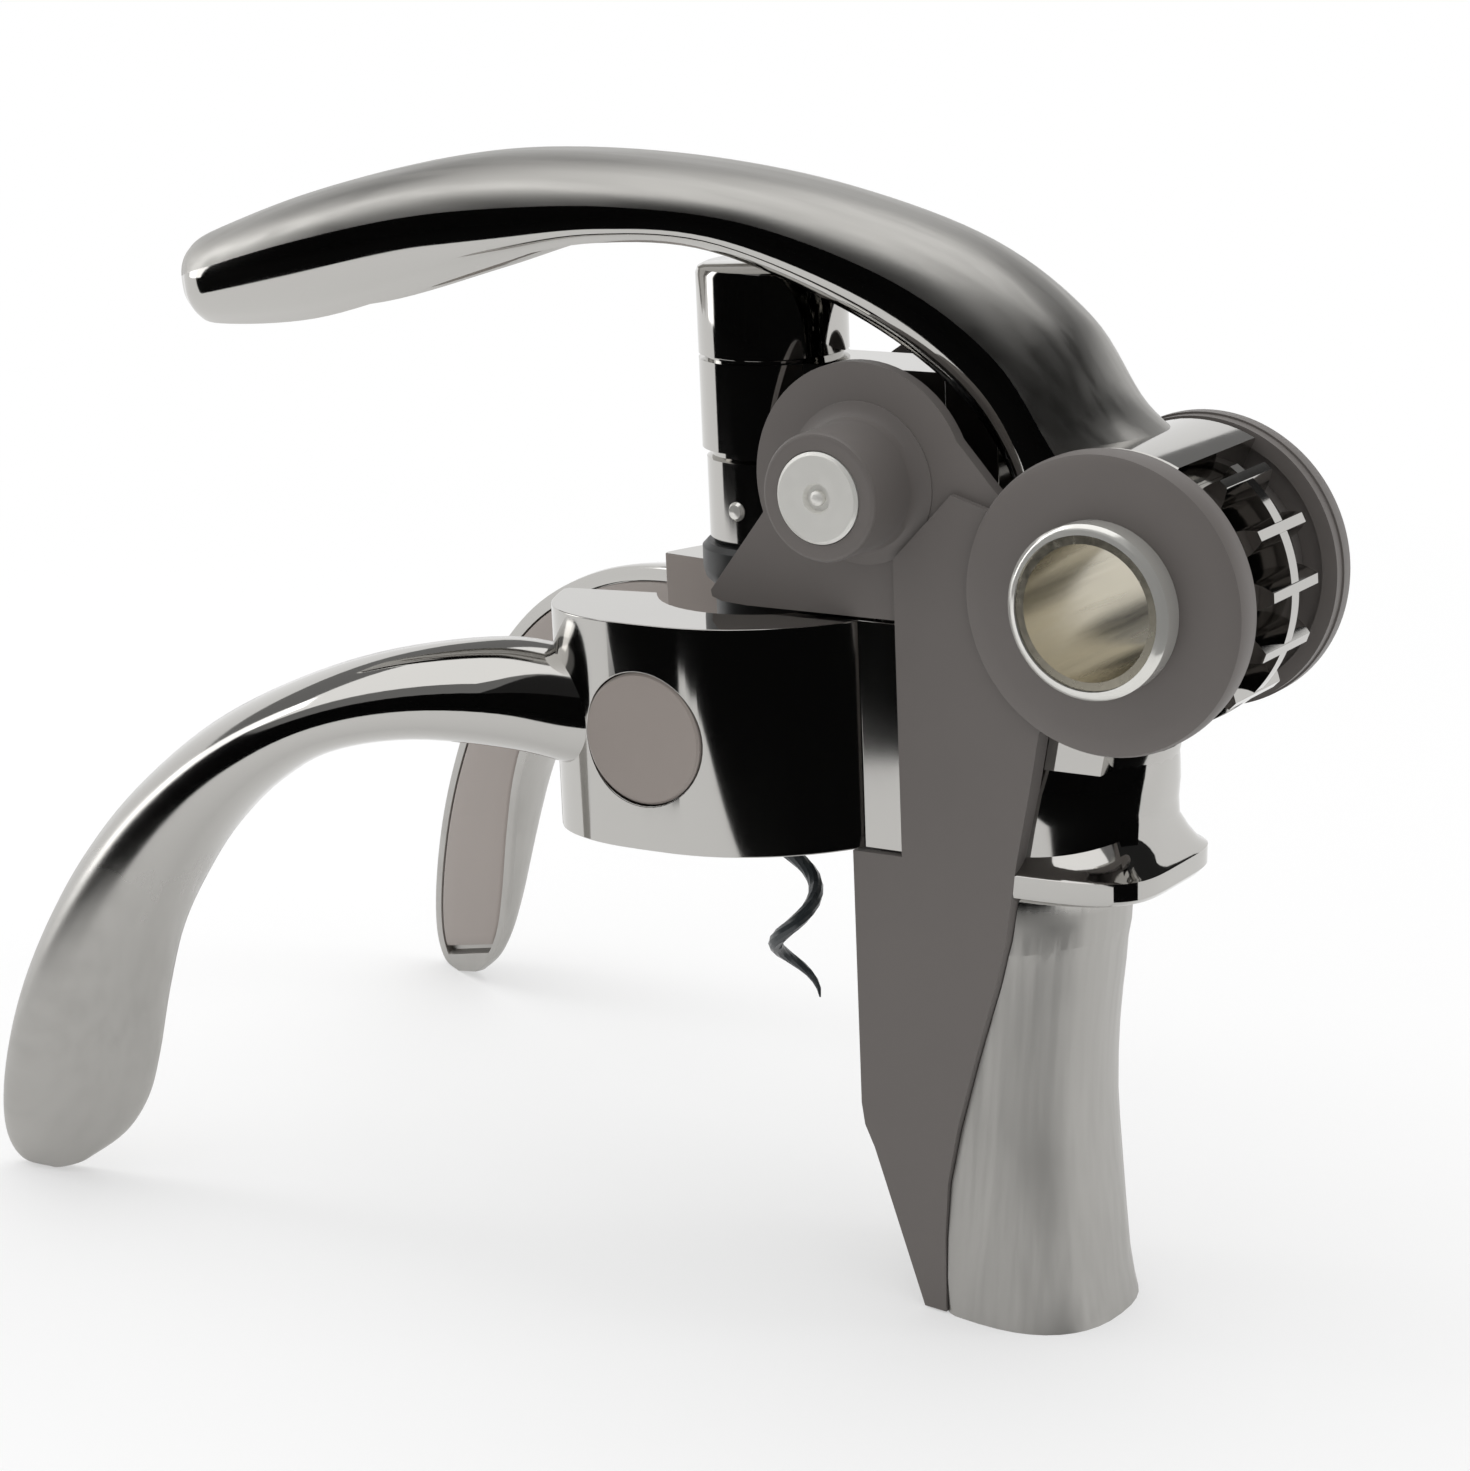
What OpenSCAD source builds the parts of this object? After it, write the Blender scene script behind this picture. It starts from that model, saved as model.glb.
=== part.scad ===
// Lever corkscrew standing on its column foot and the tips of its two clamp handles.
// Built about the worm: z runs up the worm axis, x runs back to the lever pivot, and the
// pivot's height is z = 0. The module stand() then leans the whole tool onto the table.

/* [Stance] */
// Forward lean of the worm axis when the tool stands on its foot and handle tips, in degrees
lean = 5.2; // [0:0.1:7]
// Height of the lever pivot above the table, measured along the worm axis
pivot_h = 116; // [112:0.5:122]
// Distance from the worm axis back to the middle of the foot
foot_x = 42; // [40:0.5:44]

/* [Lever and gear] */
// Distance from the worm axis back to the lever pivot
pivot_x = 65.5; // [64:0.1:67]
// Module of the gear and rack teeth
gear_module = 2.6; // [2.5:0.05:2.65]
// Number of tooth places round the gear
gear_teeth = 15; // [15:1:15]
// Half of the gear's width
gear_half = 7.4; // [6:0.1:7.6]
// Half thickness of the web that runs round the middle of the teeth
web_half = 1.2; // [0.8:0.1:1.6]
// Length of the lever from the pivot to its tip
lever_len = 180; // [165:1:195]
// Half width of the lever at its root
lever_root_half = 12.8; // [12:0.1:12.9]
// Half width of the lever at its widest
lever_wide_half = 15.4; // [15:0.1:18]
// Wall of the hollow lever
lever_wall = 2.6; // [2:0.1:3.2]

/* [Pivot] */
// Radius of the soft side discs
disc_r = 22.5; // [22:0.1:25]
// Thickness of the soft side discs
disc_t = 3.3; // [2.5:0.1:5]
// Outer radius of the hollow axle tube
tube_r = 11.4; // [11.2:0.05:12]
// Wall of the hollow axle tube
tube_wall = 1.3; // [1:0.1:2]
// How far the rolled eyelet ring at each end of the tube stands out from it
eyelet_lip = 1.5; // [1.2:0.1:2.4]
// How far each eyelet ring stands proud of its disc
eyelet_proud = 4.2; // [3:0.1:6]

/* [Carrier and worm] */
// Radius of the carrier's cap and sleeve
carrier_r = 11.65; // [11.2:0.05:11.9]
// Radius of the carrier's lower barrel
barrel_r = 11; // [9:0.1:11.1]
// Height of the carrier's top above the pivot
carrier_top = 44.5; // [42:0.1:45]
// Height of the ring groove under the cap
cap_z = 30.4; // [30:0.1:33]
// Height of the ring groove over the lower barrel
barrel_z = 16.2; // [14.5:0.1:18]
// Height of the bottom of the lower barrel
carrier_z = 1.8; // [1.6:0.1:4]
// Rise of the worm in one turn
worm_pitch = 18; // [15:0.5:22]
// Radius from the worm axis to the middle of its wire
worm_r = 3.4; // [3:0.1:3.6]
// Radius of the worm's wire
wire_r = 1.2; // [0.9:0.05:1.3]
// Depth of the worm's point below the pivot
worm_tip = 74; // [66:0.5:80]
// Radius of the nut that the worm screws through
nut_r = 12.3; // [11.5:0.1:12.6]

/* [Jaws and handles] */
// Place of the jaw hinges behind the worm axis
hinge_x = 25.6; // [25:0.1:26]
// Place of each jaw hinge to the side of the middle plane
hinge_y = 10.5; // [10:0.1:10.5]
// Radius of the jaw hinge pins
hinge_r = 2.5; // [1.8:0.1:2.8]
// Height of the jaws
jaw_h = 35.5; // [30:0.5:38]
// Radius of the jaws' outer curve
jaw_r = 30; // [29:0.1:32]
// Radius of the jaws' bore behind the liner
jaw_bore_r = 17.5; // [17:0.1:18.5]
// Thickness of the rubbery liner that grips the bottle
liner_t = 2; // [1.2:0.1:2.4]
// Angle through which each jaw closes until the two jaws meet
jaw_close = 12; // [10:0.5:13]
// Angle of each handle from straight ahead as the jaws stand open
handle_open = 22; // [18:0.5:26]
// Thickness of a handle behind its flat inner face
handle_t = 14; // [11:0.5:16]
// Border of polished metal round the grip pad
pad_border = 2.6; // [2:0.1:3.5]
// Depth of the grip pad's recess
pad_t = 1.2; // [0.8:0.1:1.6]
// Radius of the round cover on each jaw
badge_r = 10.3; // [9:0.1:11]

/* [Side panels and guide] */
// Outer face of the lower part of each side panel, from the middle plane
panel_y = 16.6; // [16.2:0.1:18]
// Outer face of the head of each side panel
head_y = 15.4; // [15:0.1:16]
// Radius of the guide roller behind the rack
roller_r = 9.75; // [9:0.05:10]
// Height of the guide axle above the pivot
guide_z = 14.5; // [14:0.1:15]
// Radius of the guide axle
guide_axle_r = 3; // [2:0.1:4]
// Radius of the panel's boss round the guide axle
boss_r = 9.75; // [8.5:0.05:11]
// Outer face of the bosses, from the middle plane
boss_y = 27.5; // [24:0.1:30]
// Radius of the polished cap on each end of the guide axle
cap_r = 6.9; // [5:0.1:7.6]

/* [Clearances] */
// Radial running clearance of turning pieces
run_gap = 0.06; // [0.03:0.01:0.1]
// Gap between fixed pieces that seat in one another
seat_gap = 0.05; // [0.03:0.01:0.1]
// Gap between pieces that pass one another
pass_gap = 0.4; // [0.3:0.05:0.5]

/* [Hidden] */
$fn = 64;

soft_grey = [0.41, 0.39, 0.375];
pad_brown = [0.60, 0.56, 0.535];
dark_chrome = [0.50, 0.50, 0.49];
satin_nickel = [0.63, 0.62, 0.60];
bright_nickel = [0.80, 0.80, 0.77];
black_plastic = [0.16, 0.17, 0.17];
coated_steel = [0.23, 0.25, 0.26];

// Gear and rack
pitch_r = gear_module * gear_teeth / 2;
tooth_angle = 360 / gear_teeth;
pressure_angle = 20;
backlash = 0.3;
gear_tip_r = pitch_r + 0.96 * gear_module;
gear_root_r = pitch_r - 1.06 * gear_module;
rack_tip = 0.82 * gear_module;
rack_root = 1.25 * gear_module;
rack_pitch = PI * gear_module;
rack_line_x = pivot_x - pitch_r;
first_tooth = 2;
last_tooth = -190;
lever_travel = 150;
stroke = pitch_r * lever_travel * PI / 180;
sleeve_r = gear_tip_r;
sleeve_from = 64;
sleeve_to = 152;
sleeve_in_r = gear_root_r + seat_gap;
sleeve_half = lever_root_half + 0.1;

// Layers outward from the middle plane
tube_bore_r = tube_r - tube_wall;
eyelet_r = tube_r + eyelet_lip;
cheek_in = gear_half + 0.6;
cheek_out = sleeve_half + 0.1;
panel_in = cheek_out + 0.15;
disc_in = head_y + 0.1;
disc_out = disc_in + disc_t + 0.6;
eyelet_y = disc_out + eyelet_proud;
cheek_r = sleeve_in_r - 0.9;

// Guide roller between the carrier and the rack
rack_front_x = rack_line_x - rack_root - 8.8;
guide_x = rack_front_x - roller_r - 0.2;
roller_half = 6.6;
arm_low = guide_z + roller_r + pass_gap;
rack_half = gear_half - 0.5;
rack_teeth_top = pitch_r * sin(180 - sleeve_to) - 2.2;
rack_low = -stroke - 13;

// Jaws
jaw_top = -6.5;
jaw_low = jaw_top - jaw_h;
jaw_c = [-5.3, 0.5];
bore_c = [-1, -2.4];
block_x = hinge_x + 4;
block_y = 15.5;
notch_x = block_x + 0.3;
notch_low = jaw_low - 0.3;
bridge_low = jaw_top + 0.5;
bridge_top = -1;
badge_x = -7;
badge_y = jaw_r + 0.8;
badge_z = jaw_top - 18;
badge_rim_r = badge_r + 0.9;
nut_flange_low = -5;
nut_top = carrier_z - 0.3;
nut_low = jaw_top - 16.5;
spigot_r = nut_r - 1.8;
plate_r = nut_r - 4.3;

// Height of the table under a point, in the worm's frame
function table_z(x) = -pivot_h - tan(lean) * (x - foot_x);
// Smooth curve through a list of points, with n steps to each span
function spline_at(a, b, c, d, t) =
    0.5 * (2 * b + (c - a) * t + (2 * a - 5 * b + 4 * c - d) * t * t + (3 * b - a - 3 * c + d) * t * t * t);
function spline(p, n) = let (last = len(p) - 1) [
    for (i = [0 : last - 1], s = [0 : n - 1])
        spline_at(p[max(i - 1, 0)], p[i], p[i + 1], p[min(i + 2, last)], s / n),
    p[last]
];
// Angle of the worm's strand at a height
function strand_angle(z) = 33 + 360 * (z + worm_tip - 18.2) / worm_pitch;

// Leans the tool so that its foot and handle tips stand on the table, foot at the origin
module stand() {
    rotate([0, -lean, 0])
        translate([-foot_x, 0, pivot_h])
            children();
}

// Turns an outline drawn in x and z into a plate that lies across the middle plane
module across(from, to) {
    translate([0, to, 0])
        rotate([90, 0, 0])
            linear_extrude(height = to - from)
                children();
}

// A cylinder along y between two faces
module across_rod(x, z, r, from, to) {
    translate([x, to, z])
        rotate([90, 0, 0])
            cylinder(r = r, h = to - from);
}

// Mirrors a near piece to the far side
module to_far() {
    mirror([0, 1, 0])
        children();
}

// Skin over a row of rings that all have the same number of points
module loft(rings) {
    n = len(rings[0]);
    m = len(rings);
    sides = [
        for (i = [0 : m - 2], j = [0 : n - 1]) each [
            [i * n + j, (i + 1) * n + j, (i + 1) * n + (j + 1) % n],
            [i * n + j, (i + 1) * n + (j + 1) % n, i * n + (j + 1) % n]
        ]
    ];
    first_cap = [for (j = [0 : n - 1]) j];
    last_cap = [for (j = [n - 1 : -1 : 0]) (m - 1) * n + j];
    polyhedron(points = [for (r = rings) each r], faces = concat([first_cap], sides, [last_cap]));
}

// Column: height, front, rear and half width of each level of the casting
column_levels = [
    [-95, 25.5, 54.8, 15.9],
    [-84, 23, 54.3, 15.4],
    [-72, 23, 55, 15.2],
    [-62, 23, 56.4, 15.2],
    [-55.5, 23, 57.4, 15.6],
    [-53, 23, 60.4, 16],
    [-51, 23, 65, 16.4],
    [-48.5, 23, 69.2, 16.7],
    [-44.5, 23, 71.2, 16.7],
    [-41, 23, 70.3, 16.1],
    [-38, 23, 67.9, 15.1],
    [-35, 23, 66.3, 14.2],
    [-31, 23, 66.3, 13.5],
    [-25, 23, 67.6, 13.1]
];
column_mid = 41;
column_sides = 40;
function round_power(v, n) = sign(v) * pow(abs(v), 2 / n);
function column_ring(front, rear, half) = [
    for (k = [0 : column_sides - 1])
        let (c = cos(k * 360 / column_sides), s = sin(k * 360 / column_sides))
        c > 0
            ? [column_mid + (rear - column_mid) * round_power(c, 2.4), half * round_power(s, 2.4)]
            : [column_mid + (column_mid - front) * round_power(c, 5), half * round_power(s, 2.4)]
];
function column_rings() = concat(
    [[for (p = column_ring(32.6, 57.2, 16.8)) [p[0], p[1], table_z(p[0])]]],
    [[for (p = column_ring(30, 55.8, 16.5)) [p[0], p[1], 0.4 * table_z(p[0]) - 0.6 * 106]]],
    [for (l = column_levels) [for (p = column_ring(l[1], l[2], l[3])) [p[0], p[1], l[0]]]]
);

// Outline of a side panel below its head, with the gap that its pocket in the column has
module panel_lower_outline(gap) {
    polygon([
        [35.4 + gap, table_z(35.4) + 0.3 - gap],
        [31.6, table_z(31.6) + 0.3 - gap],
        [23.4, -90],
        [21.8, -86.5],
        [21.3, -83],
        [21.3, notch_low],
        [notch_x, notch_low],
        [notch_x, 3.6],
        [40, 14],
        [52, 10.5],
        [59, -14],
        [53.9 + gap, -20.4],
        [52 + gap, -30],
        [49.6 + gap, -41],
        [48.4 + gap, -48],
        [47.4 + gap, -54],
        [45.5 + gap, -61],
        [41.7 + gap, -73],
        [38.2 + gap, -85],
        [36.3 + gap, -94],
        [35.6 + gap, -103]
    ]);
}

// Outline of the head and toe of a side panel
module panel_head_outline() {
    head_r = 18.2;
    translate([guide_x, guide_z])
        circle(r = head_r);
    polygon([
        [notch_x, bridge_low],
        [3, bridge_low],
        [-1.5, bridge_low + 0.3],
        [-3.2, bridge_low + 0.9],
        [-3.4, bridge_low + 1.9],
        [guide_x - 0.97 * head_r * cos(17), guide_z - 0.97 * head_r * sin(17)],
        [guide_x, guide_z + 5],
        [guide_x + 0.97 * head_r * cos(52), guide_z + 0.97 * head_r * sin(52)],
        [46.5, 15.2],
        [54, 8],
        [pivot_x, 0],
        [58, -13],
        [notch_x, -13]
    ]);
    translate([pivot_x, 0])
        circle(r = cheek_r);
}

module panel_near() {
    difference() {
        union() {
            across(-head_y, -panel_in)
                difference() {
                    panel_head_outline();
                    translate([notch_x - 40, notch_low])
                        square([40, bridge_low - notch_low]);
                }
            across(-panel_y, -panel_in)
                difference() {
                    panel_lower_outline(0);
                    translate([pivot_x, 0])
                        circle(r = disc_r + 0.3);
                }
            translate([guide_x, -panel_in, guide_z])
                rotate([90, 0, 0])
                    boss();
        }
        across_rod(guide_x, guide_z, guide_axle_r + seat_gap, -boss_y - 1, 0);
        across_rod(guide_x, guide_z, cap_r + 0.15, -boss_y - 1, -boss_y + 0.8);
        across_rod(pivot_x, 0, tube_r + seat_gap, -panel_y - 1, 0);
    }
}

// Boss round the guide axle, with a hollow foot and a rounded rim
module boss() {
    foot_h = head_y - panel_in;
    top = boss_y - panel_in;
    rotate_extrude()
        polygon([
            [0, 0.2],
            [boss_r + 2.6, 0.2],
            [boss_r + 2.6, foot_h + 0.2],
            [boss_r + 1.4, foot_h + 0.5],
            [boss_r + 0.5, foot_h + 1.2],
            [boss_r, foot_h + 2.4],
            [boss_r, top - 0.9],
            [boss_r - 0.3, top - 0.3],
            [boss_r - 0.9, top],
            [0, top]
        ]);
}

module body_column() {
    color(dark_chrome)
        stand()
            difference() {
                union() {
                    loft(spline(column_rings(), 2));
                    // Front post and the bridge that carries the nut and the hinge pins
                    translate([notch_x, -cheek_out, notch_low])
                        cube([rack_front_x - pass_gap - notch_x, 2 * cheek_out, bridge_top - notch_low]);
                    translate([10, -cheek_out, bridge_low])
                        cube([rack_front_x - pass_gap - 10, 2 * cheek_out, bridge_top - bridge_low]);
                    for (side = [-1, 1])
                        across(side > 0 ? cheek_in : -cheek_out, side > 0 ? cheek_out : -cheek_in)
                            cheek_outline();
                }
                // Shaft that the rack runs down
                translate([rack_front_x - pass_gap, -rack_half - pass_gap, rack_low - 2])
                    cube([rack_line_x + rack_tip + pass_gap - rack_front_x + pass_gap, 2 * (rack_half + pass_gap), 90]);
                // Room for the gear
                across_rod(pivot_x, 0, gear_tip_r + 0.8, -cheek_in, cheek_in);
                // Notch for the jaw hinges
                translate([-20, -40, notch_low])
                    cube([notch_x + 20, 80, bridge_low - notch_low]);
                // Seat of the nut and its tongue
                translate([0, 0, bridge_low - 1])
                    cylinder(r = nut_r + seat_gap, h = 20);
                translate([0, -6 - seat_gap, bridge_low - 1])
                    cube([20 + seat_gap, 12 + 2 * seat_gap, 20]);
                // Pockets for the side panels
                for (side = [-1, 1])
                    across(side > 0 ? panel_in - 0.1 : -40, side > 0 ? 40 : -panel_in + 0.1)
                        union() {
                            panel_lower_outline(0.2);
                            translate([0, notch_low - 0.5])
                                square([35, 40]);
                        }
                // Hinge pins and axle
                for (side = [-1, 1])
                    translate([hinge_x, side * hinge_y, jaw_low - 8])
                        cylinder(r = hinge_r + seat_gap, h = jaw_h + 30);
                across_rod(pivot_x, 0, tube_r + seat_gap, -40, 40);
            }
}

// Side cheek of the column, which carries the axle
module cheek_outline() {
    translate([pivot_x, 0])
        circle(r = cheek_r);
    polygon([
        [rack_front_x - pass_gap, -27],
        [62, -27],
        [pivot_x - 1, -cheek_r + 0.15],
        [pivot_x, 0],
        [pivot_x - cheek_r + 0.3, 2],
        [rack_front_x - pass_gap, -9]
    ]);
}

module side_panel_near() {
    color(soft_grey)
        stand()
            panel_near();
}

module side_panel_far() {
    color(soft_grey)
        stand()
            to_far()
                panel_near();
}

// Soft disc over the pivot, with a skirt round its rear half that hides the gear's ends
module disc_near() {
    edge = 1.2;
    skirt_in = panel_in + 0.5;
    translate([pivot_x, 0, 0])
        rotate([90, 0, 0]) {
            rotate_extrude()
                polygon([
                    [tube_r + seat_gap, disc_in],
                    [disc_r, disc_in],
                    [disc_r, disc_in + disc_t - edge],
                    [disc_r - edge * 0.3, disc_in + disc_t - edge * 0.3],
                    [disc_r - edge, disc_in + disc_t],
                    [tube_r + seat_gap, disc_out]
                ]);
            rotate([0, 0, -78])
                rotate_extrude(angle = 200)
                    translate([disc_r - 2.7, skirt_in])
                        square([2.4, disc_in - skirt_in + 0.5]);
        }
}

module pivot_disc_near() {
    color(soft_grey)
        stand()
            disc_near();
}

module pivot_disc_far() {
    color(soft_grey)
        stand()
            to_far()
                disc_near();
}

module axle_tube() {
    color(bright_nickel)
        stand()
            difference() {
                across_rod(pivot_x, 0, tube_r, -eyelet_y + 0.4, eyelet_y - 0.4);
                across_rod(pivot_x, 0, tube_bore_r, -eyelet_y - 1, eyelet_y + 1);
            }
}

// Rolled ring that holds the disc on the end of the tube
module eyelet_near() {
    step = 0.9;
    translate([pivot_x, 0, 0])
        rotate([90, 0, 0])
            rotate_extrude()
                polygon([
                    [tube_r + seat_gap, disc_out],
                    [eyelet_r, disc_out],
                    [eyelet_r, eyelet_y - step],
                    [eyelet_r - 0.5, eyelet_y - step * 0.4],
                    [eyelet_r - step, eyelet_y - step * 0.2],
                    [tube_r + seat_gap, eyelet_y]
                ]);
}

module eyelet_ring_near() {
    color(bright_nickel)
        stand()
            eyelet_near();
}

module eyelet_ring_far() {
    color(bright_nickel)
        stand()
            to_far()
                eyelet_near();
}

module guide_axle() {
    color(satin_nickel)
        stand()
            across_rod(guide_x, guide_z, guide_axle_r, -boss_y + 0.8, boss_y - 0.8);
}

module roller_bushes() {
    color(black_plastic)
        stand()
            for (side = [-1, 1])
                difference() {
                    across_rod(guide_x, guide_z, guide_axle_r + 2,
                        side > 0 ? roller_half + 0.1 : -panel_in + 0.05,
                        side > 0 ? panel_in - 0.05 : -roller_half - 0.1);
                    across_rod(guide_x, guide_z, guide_axle_r + seat_gap, -40, 40);
                }
}

// Polished cap with a dimple and a small pin head in its middle
module rivet_near() {
    translate([guide_x, -boss_y + 0.8, guide_z])
        rotate([90, 0, 0])
            rotate_extrude()
                polygon([
                    [0, 0],
                    [cap_r, 0],
                    [cap_r, 0.9],
                    [cap_r - 0.5, 1.3],
                    [2.3, 1.3],
                    [1.9, 0.5],
                    [1.2, 0.5],
                    [1.1, 1.2],
                    [0.6, 1.6],
                    [0, 1.7]
                ]);
}

module rivet_cap_near() {
    color(bright_nickel)
        stand()
            rivet_near();
}

module rivet_cap_far() {
    color(bright_nickel)
        stand()
            to_far()
                rivet_near();
}

module jaw_hinge_pins() {
    color(satin_nickel)
        stand()
            for (side = [-1, 1])
                translate([hinge_x, side * hinge_y, jaw_low - 8])
                    cylinder(r = hinge_r, h = bridge_top - jaw_low + 8);
}

module worm_nut() {
    color(black_plastic)
        stand()
            difference() {
                union() {
                    rotate_extrude()
                        polygon([
                            [0, nut_low],
                            [spigot_r - 0.5, nut_low],
                            [spigot_r, nut_low + 0.5],
                            [spigot_r, nut_flange_low - 0.6],
                            [nut_r - 1.4, nut_flange_low],
                            [nut_r - 0.4, nut_flange_low + 1],
                            [nut_r, nut_flange_low + 2.5],
                            [nut_r, nut_top - 0.8],
                            [nut_r - 0.8, nut_top],
                            [0, nut_top]
                        ]);
                    translate([0, -6, nut_flange_low])
                        cube([20, 12, bridge_top - nut_flange_low]);
                }
                translate([0, 0, nut_low - 1])
                    cylinder(r = worm_r + wire_r + 0.6, h = 40);
                translate([0, 0, nut_top - 2])
                    cylinder(r = plate_r + seat_gap, h = 5);
            }
}

// Steel plate whose curved slot turns the worm as it passes
module nut_plate() {
    plate_t = 1.9;
    low = nut_top - 2;
    slot_gap = 0.22;
    lead = atan(worm_pitch / (2 * PI * worm_r));
    reach = 180 * plate_t / worm_pitch + (wire_r + slot_gap) / sin(lead) / worm_r * 180 / PI + 4;
    mid = strand_angle(low + plate_t / 2);
    color(satin_nickel)
        stand()
            difference() {
                translate([0, 0, low])
                    cylinder(r = plate_r, h = plate_t);
                translate([0, 0, low - 1])
                    rotate([0, 0, mid - reach])
                        rotate_extrude(angle = 2 * reach)
                            translate([worm_r - wire_r - slot_gap, 0])
                                square([2 * (wire_r + slot_gap), plate_t + 2]);
            }
}

module guide_roller() {
    color(black_plastic)
        stand()
            difference() {
                translate([guide_x, roller_half, guide_z])
                    rotate([90, 0, 0])
                        rotate_extrude()
                            polygon([
                                [0, 0],
                                [roller_r - 0.8, 0],
                                [roller_r, 0.8],
                                [roller_r, 2 * roller_half - 0.8],
                                [roller_r - 0.8, 2 * roller_half],
                                [0, 2 * roller_half]
                            ]);
                across_rod(guide_x, guide_z, guide_axle_r + run_gap, -40, 40);
            }
}

// Lever: upper and lower edges of its side view, back from the tip, about the pivot
lever_upper = [
    [-lever_len, 39.5],
    [-lever_len + 1.6, 42.6],
    [-lever_len + 8, 46.2],
    [-lever_len * 0.84, 52.9],
    [-lever_len * 0.7, 58.6],
    [-105, 60.6],
    [-79, 59.7],
    [-53, 55.9],
    [-29, 48.7],
    [-13, 38],
    [-4, 25.4],
    [6, 19]
];
lever_lower = [
    [-lever_len + 0.6, 36.6],
    [-lever_len + 3, 33.2],
    [-lever_len + 10, 30.8],
    [-lever_len * 0.82, 33],
    [-lever_len * 0.69, 39.4],
    [-107, 44.2],
    [-92, 46.3],
    [-78, 44.8],
    [-48, 34],
    [-31, 24],
    [-20, 12.5],
    [-15.5, 6]
];
lever_half = [
    1.5,
    6.5,
    lever_wide_half - 4.4,
    lever_wide_half - 1,
    lever_wide_half,
    lever_wide_half,
    lever_wide_half - 0.8,
    lever_root_half + 0.15,
    lever_root_half,
    lever_root_half,
    lever_root_half,
    lever_root_half
];
lever_steps = 3;
hollow_first = 4;
// Solid section of the lever: flat below, crowned above
function lever_ring(up, low, half) = let (n = 12) [
    for (k = [0 : n])
        let (a = 180 * k / n, e = low + (up - low) * pow(sin(a), 0.8))
        [e[0], half * round_power(cos(a), 2.5), e[1]]
];
// Section of the lever's hollow, which is open below
function hollow_ring(up, low, half, share) = let (
    n = 10,
    open_low = low - 0.35 * (up - low),
    roof = low + (up - low) * share,
    wall_half = max(half - lever_wall, half * 0.5)
) concat(
    [[open_low[0], wall_half, open_low[1]]],
    [for (k = [0 : n])
        let (a = 180 * k / n, e = low + (roof - low) * pow(sin(a), 0.8))
        [e[0], wall_half * round_power(cos(a), 2.5), e[1]]],
    [[open_low[0], -wall_half, open_low[1]]]
);
lever_share = [0.1, 0.1, 0.14, 0.32, 0.52, 0.62, 0.68, 0.7, 0.7, 0.6, 0.3, 0.2];
function lever_rings() = let (
    up = spline(lever_upper, lever_steps),
    low = spline(lever_lower, lever_steps),
    half = spline(lever_half, lever_steps)
) [for (i = [0 : len(up) - 1]) lever_ring(up[i], low[i], half[i])];
function hollow_rings() = let (
    up = spline(lever_upper, lever_steps),
    low = spline(lever_lower, lever_steps),
    half = spline(lever_half, lever_steps),
    share = spline(lever_share, lever_steps)
) [for (i = [hollow_first : len(up) - 1 - lever_steps]) hollow_ring(up[i], low[i], half[i], share[i])];

module lever_arm() {
    color(dark_chrome)
        stand()
            translate([pivot_x, 0, 0])
                difference() {
                    union() {
                        loft(lever_rings());
                        rotate([90, 0, 0])
                            rotate([0, 0, sleeve_from])
                                rotate_extrude(angle = sleeve_to - sleeve_from)
                                    translate([sleeve_in_r, -sleeve_half])
                                        square([sleeve_r - sleeve_in_r, 2 * sleeve_half]);
                    }
                    loft(hollow_rings());
                    // Room for the carrier's cap, the arm and the rack
                    translate([-pivot_x, 0, 0])
                        cylinder(r = carrier_r + pass_gap, h = carrier_top + 1.2);
                    translate([-pivot_x, -rack_half - 1, 0])
                        cube([pivot_x - sleeve_r - 0.3, 2 * (rack_half + 1), cap_z + 3.5]);
                    across_rod(0, 0, sleeve_in_r, -40, 40);
                }
}

// One gear tooth, with involute flanks
module gear_tooth() {
    base_r = pitch_r * cos(pressure_angle);
    half = 90 / gear_teeth - backlash / 2 / pitch_r * 180 / PI;
    foot_r = gear_root_r - 1;
    function spread(r) = let (a = acos(min(1, base_r / r))) tan(a) * 180 / PI - a;
    function flank(r) = half + spread(pitch_r) - spread(max(r, base_r));
    radii = [foot_r, base_r, for (k = [1 : 5]) base_r + (gear_tip_r - base_r) * k / 5];
    polygon(concat(
        [for (r = radii) [r * cos(flank(r)), r * sin(flank(r))]],
        [for (k = [len(radii) - 1 : -1 : 0]) let (r = radii[k]) [r * cos(flank(r)), -r * sin(flank(r))]]
    ));
}

module gear_drum() {
    color(dark_chrome)
        stand()
            difference() {
                union() {
                    across_rod(pivot_x, 0, gear_root_r, -gear_half, gear_half);
                    translate([pivot_x, 0, 0])
                        across(-gear_half, gear_half)
                            for (a = [first_tooth + 2 * tooth_angle : -tooth_angle : last_tooth - 1])
                                rotate(a)
                                    gear_tooth();
                    translate([pivot_x, 0, 0])
                        rotate([90, 0, 0])
                            rotate([0, 0, last_tooth - 6])
                                rotate_extrude(angle = first_tooth + 2 * tooth_angle - last_tooth + 12)
                                    translate([gear_root_r - 1, -web_half])
                                        square([gear_tip_r - gear_root_r + 0.85, 2 * web_half]);
                }
                across_rod(pivot_x, 0, tube_r + run_gap, -40, 40);
            }
}

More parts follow.
